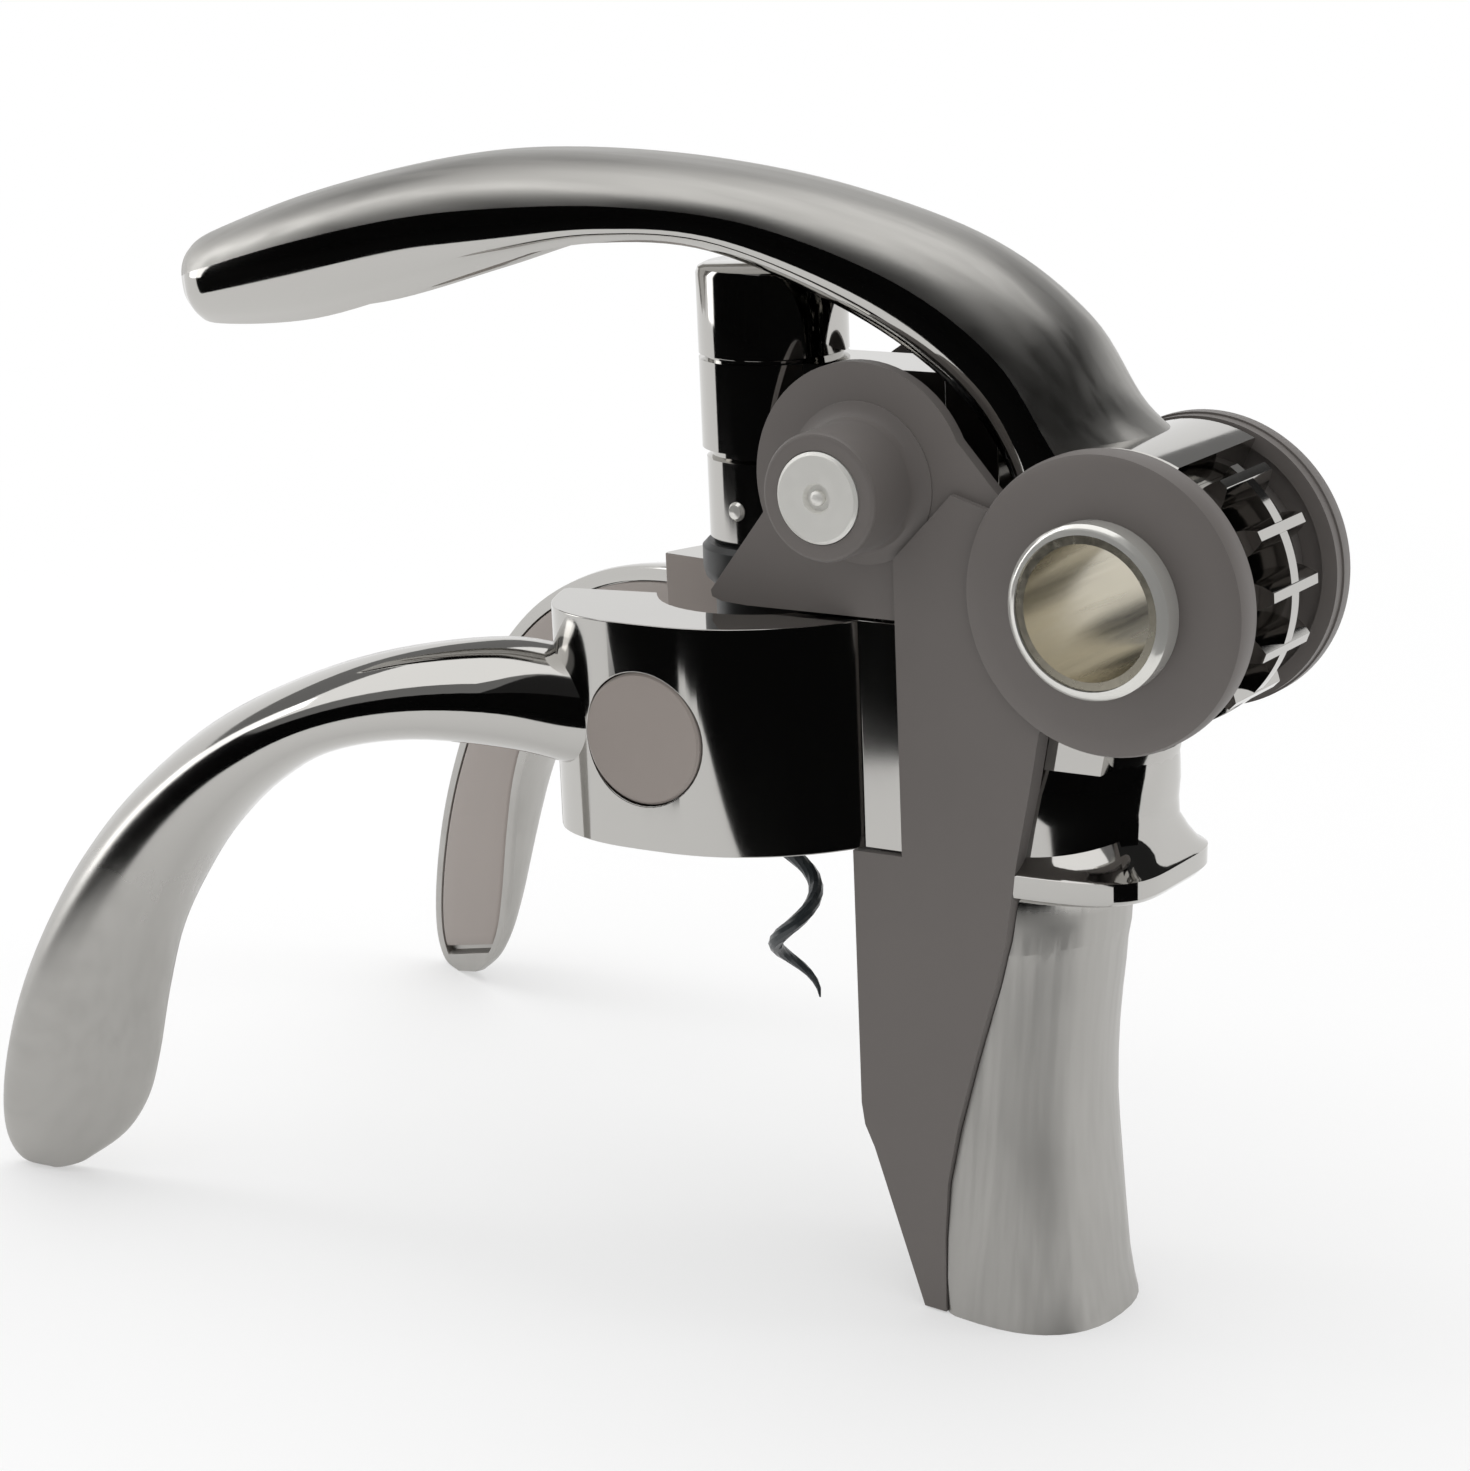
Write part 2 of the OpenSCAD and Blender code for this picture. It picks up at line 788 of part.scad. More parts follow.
// Side view of the rack's teeth: straight flanks in mesh with the gear
module rack_outline() {
    slope = tan(pressure_angle);
    half = rack_pitch / 4 - backlash / 2;
    mesh_z = (180 - (last_tooth + 360)) * PI / 180 * pitch_r + rack_pitch / 2;
    top = rack_line_x + rack_tip;
    root = rack_line_x - rack_root;
    polygon([
        [rack_front_x, rack_low],
        [root + 0.01, rack_low],
        [root + 0.01, cap_z - 0.2],
        [rack_front_x, cap_z - 0.2]
    ]);
    for (z = [mesh_z : -rack_pitch : rack_low + rack_pitch / 2])
        if (z + half + rack_root * slope < rack_teeth_top)
            polygon([
                [root, z - half - rack_root * slope],
                [top, z - half + rack_tip * slope],
                [top, z + half - rack_tip * slope],
                [root, z + half + rack_root * slope]
            ]);
}

module rack_bar() {
    color(dark_chrome)
        stand()
            difference() {
                across(-rack_half, rack_half)
                    rack_outline();
                // Groove that clears the gear's web
                translate([rack_line_x - rack_root - 0.6, -web_half - pass_gap, rack_low - 1])
                    cube([20, 2 * (web_half + pass_gap), rack_teeth_top - rack_low + 1]);
            }
}

// Sleeve round the spindle, with the arm that carries the rack
module carrier_sleeve() {
    color(dark_chrome)
        stand()
            difference() {
                union() {
                    translate([0, -rack_half, arm_low])
                        cube([rack_front_x - seat_gap, 2 * rack_half, cap_z - 0.2 - arm_low]);
                    translate([0, 0, barrel_z + 0.2])
                        cylinder(r = carrier_r, h = cap_z - barrel_z - 0.4);
                }
                // Bearing of the worm's spindle
                translate([0, 0, barrel_z - 1])
                    cylinder(r = 3 + run_gap, h = 9);
            }
}

module carrier_cap() {
    edge = 1.2;
    color(dark_chrome)
        stand()
            rotate_extrude()
                polygon([
                    [0, cap_z - 0.2],
                    [carrier_r - 0.9, cap_z - 0.2],
                    [carrier_r - 0.9, cap_z + 0.3],
                    [carrier_r, cap_z + 0.6],
                    [carrier_r, carrier_top - edge],
                    [carrier_r - edge * 0.3, carrier_top - edge * 0.3],
                    [carrier_r - edge, carrier_top],
                    [0, carrier_top]
                ]);
}

module carrier_barrel() {
    spindle_r = 5.5;
    color(dark_chrome)
        stand()
            difference() {
                rotate_extrude()
                    polygon([
                        [0, carrier_z],
                        [barrel_r - 0.6, carrier_z],
                        [barrel_r, carrier_z + 0.6],
                        [barrel_r, barrel_z - 1.4],
                        [barrel_r - 0.7, barrel_z - 0.9],
                        [barrel_r - 0.7, barrel_z + 0.2],
                        [0, barrel_z + 0.2]
                    ]);
                translate([0, 0, carrier_z - 1])
                    cylinder(r = spindle_r + run_gap, h = 10.3 + 1);
                translate([0, 0, carrier_z])
                    cylinder(r = 3 + run_gap, h = 40);
                translate([0, 0, 7.4])
                    rotate([0, 0, -95])
                        rotate([0, 90, 0])
                            translate([0, 0, barrel_r - 2.5])
                                cylinder(r = 1.5 + seat_gap, h = 5);
            }
}

// Small screw in the side of the barrel
module barrel_screw() {
    color(bright_nickel)
        stand()
            translate([0, 0, 7.4])
                rotate([0, 0, -95])
                    rotate([0, 90, 0])
                        translate([0, 0, barrel_r - 2.45])
                            rotate_extrude()
                                polygon([[0, 0], [1.5, 0], [1.5, 2.5], [1.1, 3], [0, 3.1]]);
}

// Worm: wire swept along its helix, drawn to a point at the lower end
worm_top = carrier_z + 1.2;
worm_rings = 76;
worm_taper = 9;
function worm_ring(i) = let (
    z = -worm_tip + (worm_top + worm_tip) * i / (worm_rings - 1),
    a = strand_angle(z),
    up = z + worm_tip,
    r = wire_r * min(1, 0.12 + 0.88 * pow(up / worm_taper, 0.7)),
    lead = atan(worm_pitch / (2 * PI * worm_r)),
    out = [cos(a), sin(a), 0],
    side = [sin(a) * sin(lead), -cos(a) * sin(lead), cos(lead)]
) [for (k = [0 : 9]) worm_r * out + [0, 0, z] + r * (cos(36 * k) * out - sin(36 * k) * side)];

module worm() {
    head_r = 5.5;
    color(coated_steel)
        stand()
            union() {
                loft([for (i = [0 : worm_rings - 1]) worm_ring(i)]);
                translate([0, 0, carrier_z + 0.1])
                    cylinder(r = head_r, h = 3.9);
            }
}

module worm_spindle() {
    head_r = 5.5;
    color(satin_nickel)
        stand()
            rotate_extrude()
                polygon([
                    [0, carrier_z + 4],
                    [head_r, carrier_z + 4],
                    [head_r, carrier_z + 10],
                    [3, carrier_z + 10],
                    [3, barrel_z + 7.6],
                    [0, barrel_z + 7.6]
                ]);
}

// Line on which the two jaws meet: the middle plane as the jaw sees it when it is open
module jaw_side() {
    translate([hinge_x, -hinge_y])
        rotate(jaw_close)
            translate([-120, -60])
                square([160, 60 + hinge_y - 0.3]);
}

// Plan of the near jaw as it stands open
module jaw_outline() {
    intersection() {
        jaw_side();
        difference() {
            union() {
                translate(jaw_c)
                    circle(r = jaw_r);
                polygon([
                    [-13, -26.9],
                    [-25.4, -25.6],
                    [-27.6, -23.6],
                    [-32.6, -9],
                    [-14, -9]
                ]);
                polygon([
                    [10, -block_y],
                    [block_x, -block_y],
                    [block_x, -hinge_y],
                    [10, -hinge_y]
                ]);
                translate([hinge_x, -hinge_y])
                    circle(r = block_x - hinge_x);
            }
            translate(bore_c)
                circle(r = jaw_bore_r);
            translate([hinge_x - 7, -hinge_y + block_x - hinge_x])
                square([40, 40]);
            translate([block_x, -60])
                square([40, 120]);
            difference() {
                translate([hinge_x, -hinge_y])
                    square([40, 40]);
                translate([hinge_x, -hinge_y])
                    circle(r = block_x - hinge_x);
            }
            translate([hinge_x, -hinge_y])
                circle(r = hinge_r + run_gap);
        }
    }
}

module jaw_body() {
    difference() {
        union() {
            translate([0, 0, jaw_low])
                linear_extrude(height = jaw_h)
                    jaw_outline();
            difference() {
                across_rod(badge_x, badge_z, badge_rim_r, -badge_y, -20);
                translate([jaw_c[0], jaw_c[1], jaw_low])
                    cylinder(r = jaw_r - 0.5, h = jaw_h);
            }
        }
        across_rod(badge_x, badge_z, badge_r + seat_gap, -badge_y - 1, -badge_y + 1.4);
    }
}

module jaw_cover() {
    translate([badge_x, -badge_y + 1.4, badge_z])
        rotate([90, 0, 0])
            rotate_extrude()
                polygon([
                    [0, 0],
                    [badge_r, 0],
                    [badge_r, 1],
                    [badge_r - 0.4, 1.3],
                    [0, 1.4]
                ]);
}

module neck_liner() {
    translate([0, 0, jaw_low + 0.5])
        linear_extrude(height = nut_low - 1 - jaw_low)
            intersection() {
                jaw_side();
                translate(bore_c)
                    difference() {
                        circle(r = jaw_bore_r - seat_gap);
                        circle(r = jaw_bore_r - liner_t);
                    }
                polygon([[-18, -40], [16, -40], [16, -9], [-18, -9]]);
            }
}

// Handle: outer and inner edges of its side view, from the jaw to the tip
handle_tip_z = table_z(hinge_x - 145 * cos(handle_open)) + 0.25;
handle_outer = [
    [-8, -9],
    [-24, -9.4],
    [-36, -11],
    [-54, -14],
    [-70, -18.8],
    [-85, -26.2],
    [-98, -36.6],
    [-108, -48.2],
    [-116, handle_tip_z + 40.8],
    [-121.6, handle_tip_z + 28.5],
    [-125.2, handle_tip_z + 16],
    [-126, handle_tip_z + 6.5],
    [-123.6, handle_tip_z + 1.2],
    [-118.6, handle_tip_z]
];
handle_inner = [
    [-8, -33.4],
    [-24, -32.6],
    [-34, -29.4],
    [-50, -27.8],
    [-64, -29.8],
    [-74, -35.4],
    [-82, -43],
    [-88, -51.6],
    [-92.6, handle_tip_z + 41.6],
    [-95.8, handle_tip_z + 31],
    [-98.4, handle_tip_z + 20],
    [-101, handle_tip_z + 12.2],
    [-105.4, handle_tip_z + 6],
    [-112, handle_tip_z + 1.4]
];
handle_bulge = [
    handle_t,
    handle_t,
    handle_t,
    handle_t,
    handle_t,
    handle_t,
    handle_t - 0.4,
    handle_t - 1,
    handle_t - 2.2,
    handle_t - 4,
    handle_t - 6.4,
    handle_t - 8.6,
    handle_t - 10,
    handle_t - 10.6
];
handle_steps = 3;
pad_first = 7;
pad_last = 35;
face_y = 1.5;
// One section of a handle: a flat inner face and a rounded back
function handle_ring(o, i, bulge) = let (c = (o + i) / 2, h = (o - i) / 2) [
    for (q = concat(
        [[-0.94, face_y]],
        [for (a = [-90 : 15 : 90]) [sin(a), face_y + 0.6 + (bulge - 0.6) * pow(max(cos(a), 0), 0.85)]],
        [[0.94, face_y]]
    ))
        let (e = c + h * q[0])
        [e[0], -q[1], e[1]]
];
function handle_rings() = let (
    o = spline(handle_outer, handle_steps),
    i = spline(handle_inner, handle_steps),
    b = spline(handle_bulge, handle_steps)
) [for (k = [0 : len(o) - 1]) handle_ring(o[k], i[k], b[k])];
// One section of the pad, or of its recess: a border in from each edge, between two depths
function pad_ring(o, i, border, from, to) = let (
    share = 1 - 2 * min(0.42, border / norm(o - i)),
    c = (o + i) / 2,
    h = (o - i) / 2
) [
    for (q = [[-share, from], [-share, to], [share, to], [share, from]])
        let (e = c + h * q[0])
        [e[0], -q[1], e[1]]
];
module pad_shape(border, from, to) {
    // Sections of the pad lie halfway between those of the handle
    o = spline(handle_outer, 2 * handle_steps);
    i = spline(handle_inner, 2 * handle_steps);
    loft([for (k = [2 * pad_first + 1 : 2 : 2 * pad_last + 1]) pad_ring(o[k], i[k], border, from, to)]);
}

// Puts a piece drawn with its handle straight ahead at the angle of the open jaw
module at_open() {
    translate([hinge_x, -hinge_y, 0])
        rotate([0, 0, handle_open])
            translate([-hinge_x, hinge_y, 0])
                children();
}

module handle_body() {
    difference() {
        at_open()
            difference() {
                loft(handle_rings());
                pad_shape(pad_border, face_y - 2, face_y + pad_t);
            }
        // The root is shaped to the jaw that it is fixed to, and to the rim of the round cover
        across_rod(badge_x, badge_z, badge_rim_r + 0.06, -badge_y - 30, -20);
        translate([0, 0, jaw_low - 5])
            linear_extrude(height = jaw_h + 10)
                polygon(concat(
                    [for (a = [300 : -6 : 246]) jaw_c + (jaw_r + 0.06) * [cos(a), sin(a)]],
                    [[-25.4, -25.66], [-27.66, -23.6], [-32.66, -9], [-14, -9]]
                ));
    }
}

// Grip pad that lies in the recess of the handle's inner face
module grip_pad() {
    at_open()
        pad_shape(pad_border + 0.2, face_y - 0.1, face_y + pad_t - 0.05);
}

module jaw_near() {
    color(dark_chrome)
        stand()
            jaw_body();
}

module handle_near() {
    color(satin_nickel)
        stand()
            handle_body();
}

module grip_pad_near() {
    color(pad_brown)
        stand()
            grip_pad();
}

module jaw_cover_near() {
    color(pad_brown)
        stand()
            jaw_cover();
}

module neck_liner_near() {
    color(black_plastic)
        stand()
            neck_liner();
}

module jaw_far() {
    color(dark_chrome)
        stand()
            to_far()
                jaw_body();
}

module handle_far() {
    color(satin_nickel)
        stand()
            to_far()
                handle_body();
}

module grip_pad_far() {
    color(pad_brown)
        stand()
            to_far()
                grip_pad();
}

module jaw_cover_far() {
    color(pad_brown)
        stand()
            to_far()
                jaw_cover();
}

module neck_liner_far() {
    color(black_plastic)
        stand()
            to_far()
                neck_liner();
}

body_column();
side_panel_near();
side_panel_far();
pivot_disc_near();
pivot_disc_far();
axle_tube();
eyelet_ring_near();
eyelet_ring_far();
guide_axle();
roller_bushes();
rivet_cap_near();
rivet_cap_far();
jaw_hinge_pins();
worm_nut();
nut_plate();
guide_roller();
lever_arm();
gear_drum();
rack_bar();
carrier_sleeve();
carrier_cap();
carrier_barrel();
barrel_screw();
worm();
worm_spindle();
jaw_near();
handle_near();
grip_pad_near();
jaw_cover_near();
neck_liner_near();
jaw_far();
handle_far();
grip_pad_far();
jaw_cover_far();
neck_liner_far();
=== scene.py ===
import math

import bmesh
import bpy
from mathutils import Matrix, Vector


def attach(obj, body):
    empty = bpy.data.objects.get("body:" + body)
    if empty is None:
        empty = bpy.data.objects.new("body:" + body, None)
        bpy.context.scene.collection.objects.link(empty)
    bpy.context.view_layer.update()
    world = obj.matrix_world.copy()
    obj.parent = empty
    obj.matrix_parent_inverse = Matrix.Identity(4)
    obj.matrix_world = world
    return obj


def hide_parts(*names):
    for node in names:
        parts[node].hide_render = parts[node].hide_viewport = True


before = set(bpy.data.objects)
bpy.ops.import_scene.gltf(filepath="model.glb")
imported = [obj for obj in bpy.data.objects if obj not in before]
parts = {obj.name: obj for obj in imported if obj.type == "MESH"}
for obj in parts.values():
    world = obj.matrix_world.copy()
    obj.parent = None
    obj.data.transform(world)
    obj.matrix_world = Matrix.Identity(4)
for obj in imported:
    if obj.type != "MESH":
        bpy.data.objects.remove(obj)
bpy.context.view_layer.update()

# Column: a zinc casting plated in black nickel, which carries every other piece.
# Its grip below the thumb ledge is rubbed to a satin, and its neck stays mirror bright.
LEAN = math.radians(5.2)
FOOT_X = 42.0
PIVOT_HEIGHT = 116.0
LEDGE_UNDERSIDE = 0.0665
LEDGE_FADE = 0.0030
NICKEL_MIRROR = (0.50, 0.49, 0.47, 1)
NICKEL_SATIN = (0.43, 0.42, 0.40, 1)
MIRROR_ROUGH = (0.03, 0.085)
SATIN_ROUGH = (0.32, 0.44)
WIPE_SCALE = 60
WIPE_STRETCH = (1, 1, 0.4)
HAND_SCALE = 45
HAND_SATIN = 0.08
RUB_SCALE = 700
RUB_DETAIL = 3
RUB_STRENGTH = 0.10
RUB_DEPTH = 0.00005
RUBBED_UPRIGHT = (1, 1, 0.05)
WELD_REACH = 2e-6
CORNER = math.radians(30)
FLAT_WITHIN = math.radians(0.6)
BROKEN_FROM = math.radians(38)
BROKEN_STEPS = 3
# From the worm's frame in millimetres to the table's frame in metres
stand = (
    Matrix.Scale(0.001, 4)
    @ Matrix.Rotation(-LEAN, 4, "Y")
    @ Matrix.Translation((-FOOT_X, 0, PIVOT_HEIGHT))
)


def new_finish(name):
    """An empty material with its node tree and its shader."""
    finish = bpy.data.materials.new(name)
    finish.use_nodes = True
    tree = finish.node_tree
    return finish, tree, tree.nodes["Principled BSDF"]


def grain(tree, scale, stretch=(1, 1, 1), detail=4):
    """Noise in the piece's own space, stretched along an axis for brushed and drawn surfaces."""
    place = tree.nodes.new("ShaderNodeTexCoord")
    mapping = tree.nodes.new("ShaderNodeMapping")
    mapping.inputs["Scale"].default_value = stretch
    noise = tree.nodes.new("ShaderNodeTexNoise")
    noise.inputs["Scale"].default_value = scale
    noise.inputs["Detail"].default_value = detail
    tree.links.new(place.outputs["Object"], mapping.inputs["Vector"])
    tree.links.new(mapping.outputs["Vector"], noise.inputs["Vector"])
    return noise.outputs["Fac"]


def spread(tree, value, low, high, start=0.3, end=0.7):
    """A value's range turned into another, for roughness or a mix."""
    ramp = tree.nodes.new("ShaderNodeMapRange")
    ramp.inputs["From Min"].default_value = start
    ramp.inputs["From Max"].default_value = end
    ramp.inputs["To Min"].default_value = low
    ramp.inputs["To Max"].default_value = high
    tree.links.new(value, ramp.inputs["Value"])
    return ramp.outputs["Result"]


def between(tree, share, first, second):
    """Two values mixed by a share."""
    mix = tree.nodes.new("ShaderNodeMix")
    tree.links.new(share, mix.inputs["Factor"])
    tree.links.new(first, mix.inputs["A"])
    tree.links.new(second, mix.inputs["B"])
    return mix.outputs["Result"]


def tone(tree, share, first, second):
    """Two colours mixed by a share."""
    mix = tree.nodes.new("ShaderNodeMix")
    mix.data_type = "RGBA"
    mix.inputs["A"].default_value = first
    mix.inputs["B"].default_value = second
    tree.links.new(share, mix.inputs["Factor"])
    return mix.outputs["Result"]


def joined(tree, operation, first, second):
    """Two values put through one operation, such as a product or the larger of the two."""
    node = tree.nodes.new("ShaderNodeMath")
    node.operation = operation
    tree.links.new(first, node.inputs[0])
    tree.links.new(second, node.inputs[1])
    return node.outputs["Value"]


def relief(tree, shader, height, strength, distance):
    """Fine relief from a height value."""
    bump = tree.nodes.new("ShaderNodeBump")
    bump.inputs["Strength"].default_value = strength
    bump.inputs["Distance"].default_value = distance
    tree.links.new(height, bump.inputs["Height"])
    tree.links.new(bump.outputs["Normal"], shader.inputs["Normal"])


def nickel(name, satin_share, stretch):
    """Black nickel that goes from mirror to satin by a share, with wipe marks and rubbed lines."""
    finish, tree, shader = new_finish(name)
    shader.inputs["Metallic"].default_value = 1
    share = satin_share(tree)
    lines = grain(tree, RUB_SCALE, stretch, RUB_DETAIL)
    mirror_rough = spread(tree, grain(tree, WIPE_SCALE, WIPE_STRETCH), *MIRROR_ROUGH)
    satin_rough = spread(tree, lines, *SATIN_ROUGH)
    tree.links.new(between(tree, share, mirror_rough, satin_rough), shader.inputs["Roughness"])
    tree.links.new(tone(tree, share, NICKEL_MIRROR, NICKEL_SATIN), shader.inputs["Base Color"])
    relief(tree, shader, joined(tree, "MULTIPLY", share, lines), RUB_STRENGTH, RUB_DEPTH)
    return finish


def below_ledge(tree):
    """Satin from the foot up to the ledge's underside."""
    place = tree.nodes.new("ShaderNodeTexCoord")
    axes = tree.nodes.new("ShaderNodeSeparateXYZ")
    tree.links.new(place.outputs["Object"], axes.inputs["Vector"])
    return spread(tree, axes.outputs["Z"], 1, 0, LEDGE_UNDERSIDE, LEDGE_UNDERSIDE + LEDGE_FADE)


def polished(tree):
    """No satin, but for a trace where hands wipe it."""
    return spread(tree, grain(tree, HAND_SCALE), 0, HAND_SATIN)


def welded_group():
    """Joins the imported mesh's split edges, and keeps only real corners sharp."""
    group = bpy.data.node_groups.new("weld_and_smooth", "GeometryNodeTree")
    group.interface.new_socket("Geometry", in_out="INPUT", socket_type="NodeSocketGeometry")
    group.interface.new_socket("Geometry", in_out="OUTPUT", socket_type="NodeSocketGeometry")
    enter = group.nodes.new("NodeGroupInput")
    leave = group.nodes.new("NodeGroupOutput")
    weld = group.nodes.new("GeometryNodeMergeByDistance")
    weld.inputs["Distance"].default_value = WELD_REACH
    angle = group.nodes.new("GeometryNodeInputMeshEdgeAngle")
    corner = group.nodes.new("FunctionNodeCompare")
    corner.operation = "GREATER_THAN"
    corner.inputs["B"].default_value = CORNER
    smooth = group.nodes.new("GeometryNodeSetShadeSmooth")
    normals = group.nodes.new("GeometryNodeSetMeshNormal")
    normals.mode = "SHARPNESS"
    normals.inputs["Remove Custom"].default_value = True
    group.links.new(enter.outputs[0], weld.inputs["Geometry"])
    group.links.new(weld.outputs["Geometry"], smooth.inputs["Geometry"])
    group.links.new(smooth.outputs["Geometry"], normals.inputs["Mesh"])
    group.links.new(angle.outputs["Unsigned Angle"], corner.inputs["A"])
    group.links.new(corner.outputs["Result"], normals.inputs["Edge Sharpness"])
    group.links.new(normals.outputs["Mesh"], leave.inputs[0])
    return group


welded = welded_group()


def break_edges(piece, edge):
    """Breaks a piece's corners by a small radius, with its flat faces left flat."""
    flat = piece.modifiers.new("flat faces", "DECIMATE")
    flat.decimate_type = "DISSOLVE"
    flat.angle_limit = FLAT_WITHIN
    broken = piece.modifiers.new("broken edges", "BEVEL")
    broken.width = edge
    broken.segments = BROKEN_STEPS
    broken.limit_method = "ANGLE"
    broken.angle_limit = BROKEN_FROM
    piece.modifiers.new("flat normals", "WEIGHTED_NORMAL").keep_sharp = True


def dress(name, finish, edge=0.0):
    """Gives a CAD piece its finish, joins its faces, and breaks its edges by a small radius."""
    part = parts[name]
    part.data.materials.clear()
    part.data.materials.append(finish)
    part.modifiers.new("weld", "NODES").node_group = welded
    if edge:
        break_edges(part, edge)


column_nickel = nickel("column nickel", below_ledge, RUBBED_UPRIGHT)
mirror_nickel = nickel("mirror nickel", polished, RUBBED_UPRIGHT)
dress("body_column", column_nickel)

# Thumb ledge: the collar at the column's rear, cast and plated with it, with a flat rim and a scooped top.
# It runs up into the neck, and the column under it is cut back to the neck and the grip.
COLUMN_MID = 41.0
COLUMN_SQUARE = 2.4
COLUMN_EDGE = 0.0003
LEDGE_SWEEP = 87
LEDGE_SIDES = 58
LEDGE_CREASE = 32
CREASE = 40
# Height at the sides, rear, half width, squareness, and rise at the rear, from below round to above
LEDGE_LEVELS = [
    (-47.6, 57.0, 12.0, 2.6, 0.0),
    (-47.6, 63.5, 14.6, 3.4, 0.0),
    (-47.0, 66.4, 15.6, 4.0, 0.0),
    (-46.4, 67.9, 16.3, 4.3, 0.0),
    (-45.7, 68.5, 16.5, 4.4, 0.0),
    (-42.9, 68.6, 16.6, 4.4, 0.0),
    (-42.6, 68.3, 16.3, 4.4, 0.0),
    (-42.2, 67.6, 15.4, 4.0, 0.8),
    (-41.6, 66.9, 14.6, 3.4, 2.4),
    (-40.9, 66.2, 14.0, 2.8, 4.5),
    (-36.0, 66.4, 14.0, 2.6, 2.0),
    (-31.0, 66.8, 13.9, 2.6, 0.0),
    (-28.5, 67.0, 13.5, 2.5, 0.0),
    (-26.3, 67.15, 13.05, 2.4, 0.0),
    (-26.3, 62.0, 11.0, 2.4, 0.0),
]
# Height, rear and half width of what is cut from the column, with the neck and the grip inside it
WASTE_LEVELS = [
    (-58.0, 57.8, 15.9),
    (-56.0, 57.4, 15.5),
    (-52.0, 57.8, 15.4),
    (-46.0, 58.4, 15.4),
    (-43.0, 63.0, 13.4),
    (-38.0, 64.4, 13.2),
    (-32.0, 65.4, 13.1),
    (-29.0, 66.0, 13.1),
    (-27.8, 69.0, 15.0),
    (-27.8, 80.0, 26.0),
    (-58.0, 80.0, 26.0),
]


def power(value, share):
    """A sine or cosine squared up towards a box, with its sign kept."""
    return math.copysign(abs(value) ** share, value)


def round_rear(angle, z, rear, half, squareness=COLUMN_SQUARE, rise=0.0):
    """A point of the column's outline behind its middle, at an angle from straight back."""
    c, s = math.cos(angle), math.sin(angle)
    x = COLUMN_MID + (rear - COLUMN_MID) * power(c, 2 / squareness)
    return (x, half * power(s, 2 / squareness), z + rise * c * c)


def skin(rings, first=0):
    """Faces over rings of equal length, closed round and capped at both ends."""
    count = len(rings[0])
    faces = []
    for i in range(len(rings) - 1):
        low = first + i * count
        high = low + count
        for j in range(count):
            k = (j + 1) % count
            faces.append((low + j, low + k, high + k, high + j))
    end = first + (len(rings) - 1) * count
    faces.append(tuple(first + j for j in reversed(range(count))))
    faces.append(tuple(end + j for j in range(count)))
    return faces


def lofted(name, runs, turn):
    """A closed mesh over runs of rings in the worm's frame, on one side of the middle plane."""
    points = []
    faces = []
    for rings in runs:
        faces += skin(rings, len(points))
        points += [stand @ Vector((x, turn * y, z)) for ring in rings for x, y, z in ring]
    mesh = bpy.data.meshes.new(name)
    mesh.from_pydata(points, [], faces)
    work = bmesh.new()
    work.from_mesh(mesh)
    bmesh.ops.recalc_face_normals(work, faces=work.faces)
    work.to_mesh(mesh)
    work.free()
    return mesh


def add_piece(name, data):
    """A mesh, camera or lamp put into the scene."""
    piece = bpy.data.objects.new(name, data)
    bpy.context.scene.collection.objects.link(piece)
    return piece


def make_piece(name, runs, turn, finish, satin=None, crease=CREASE):
    """A piece over runs of rings, with its finish, satin shares, and corners sharp above an angle."""
    mesh = lofted(name, runs, turn)
    if satin:
        mesh.attributes.new("satin", "FLOAT", "POINT").data.foreach_set("value", satin)
    mesh.shade_smooth()
    mesh.set_sharp_from_angle(angle=math.radians(crease))
    mesh.materials.append(finish)
    return add_piece(name, mesh)


def as_seen(piece):
    """A piece's mesh with its modifiers applied."""
    return bpy.data.meshes.new_from_object(piece.evaluated_get(bpy.context.evaluated_depsgraph_get()))


def carve(piece, rings, turn):
    """Cuts a closed shape out of a piece and keeps the result as the piece's own mesh."""
    tool = add_piece("tool", lofted("tool", [rings], turn))
    cut = piece.modifiers.new("cut", "BOOLEAN")
    cut.operation = "DIFFERENCE"
    cut.object = tool
    bpy.context.view_layer.update()
    mesh = as_seen(piece)
    mesh.set_sharp_from_angle(angle=math.radians(CREASE))
    piece.modifiers.remove(cut)
    piece.data = mesh
    bpy.data.objects.remove(tool)


sweep = [math.radians(LEDGE_SWEEP * (2 * k / LEDGE_SIDES - 1)) for k in range(LEDGE_SIDES + 1)]
ledge_rings = [[round_rear(a, *level) for level in LEDGE_LEVELS] for a in sweep]
waste_rings = [[round_rear(a, *level) for level in WASTE_LEVELS] for a in sweep]
column = add_piece("column_casting", as_seen(parts["body_column"]))
carve(column, waste_rings, 1)
break_edges(column, COLUMN_EDGE)
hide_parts("body_column")
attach(column, "frame")
ledge = make_piece("thumb_ledge", [ledge_rings], 1, mirror_nickel, crease=LEDGE_CREASE)
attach(ledge, "frame")

# Side panels: soft-touch covers moulded in warm grey, one each side of the column.
# Each has a head over the pivot, a round boss for the guide axle and a pointed toe at the foot.
SOFT_GREY = (0.148, 0.133, 0.124, 1)
SOFT_ROUGH = 0.52
SOFT_ROUGH_SPREAD = 0.04
SOFT_SHADE = 0.93
SOFT_SHEEN = 0.12
SHEEN_ROUGH = 0.5
CLOUD_SCALE = 35
PEBBLE_SCALE = 2600
PEBBLE_DETAIL = 2
PEBBLE_STRENGTH = 0.08
PEBBLE_DEPTH = 0.00008
PANEL_EDGE = 0.0009


def darker(colour, share):
    """A colour at a share of its brightness."""
    return tuple(share * c for c in colour[:3]) + (1,)


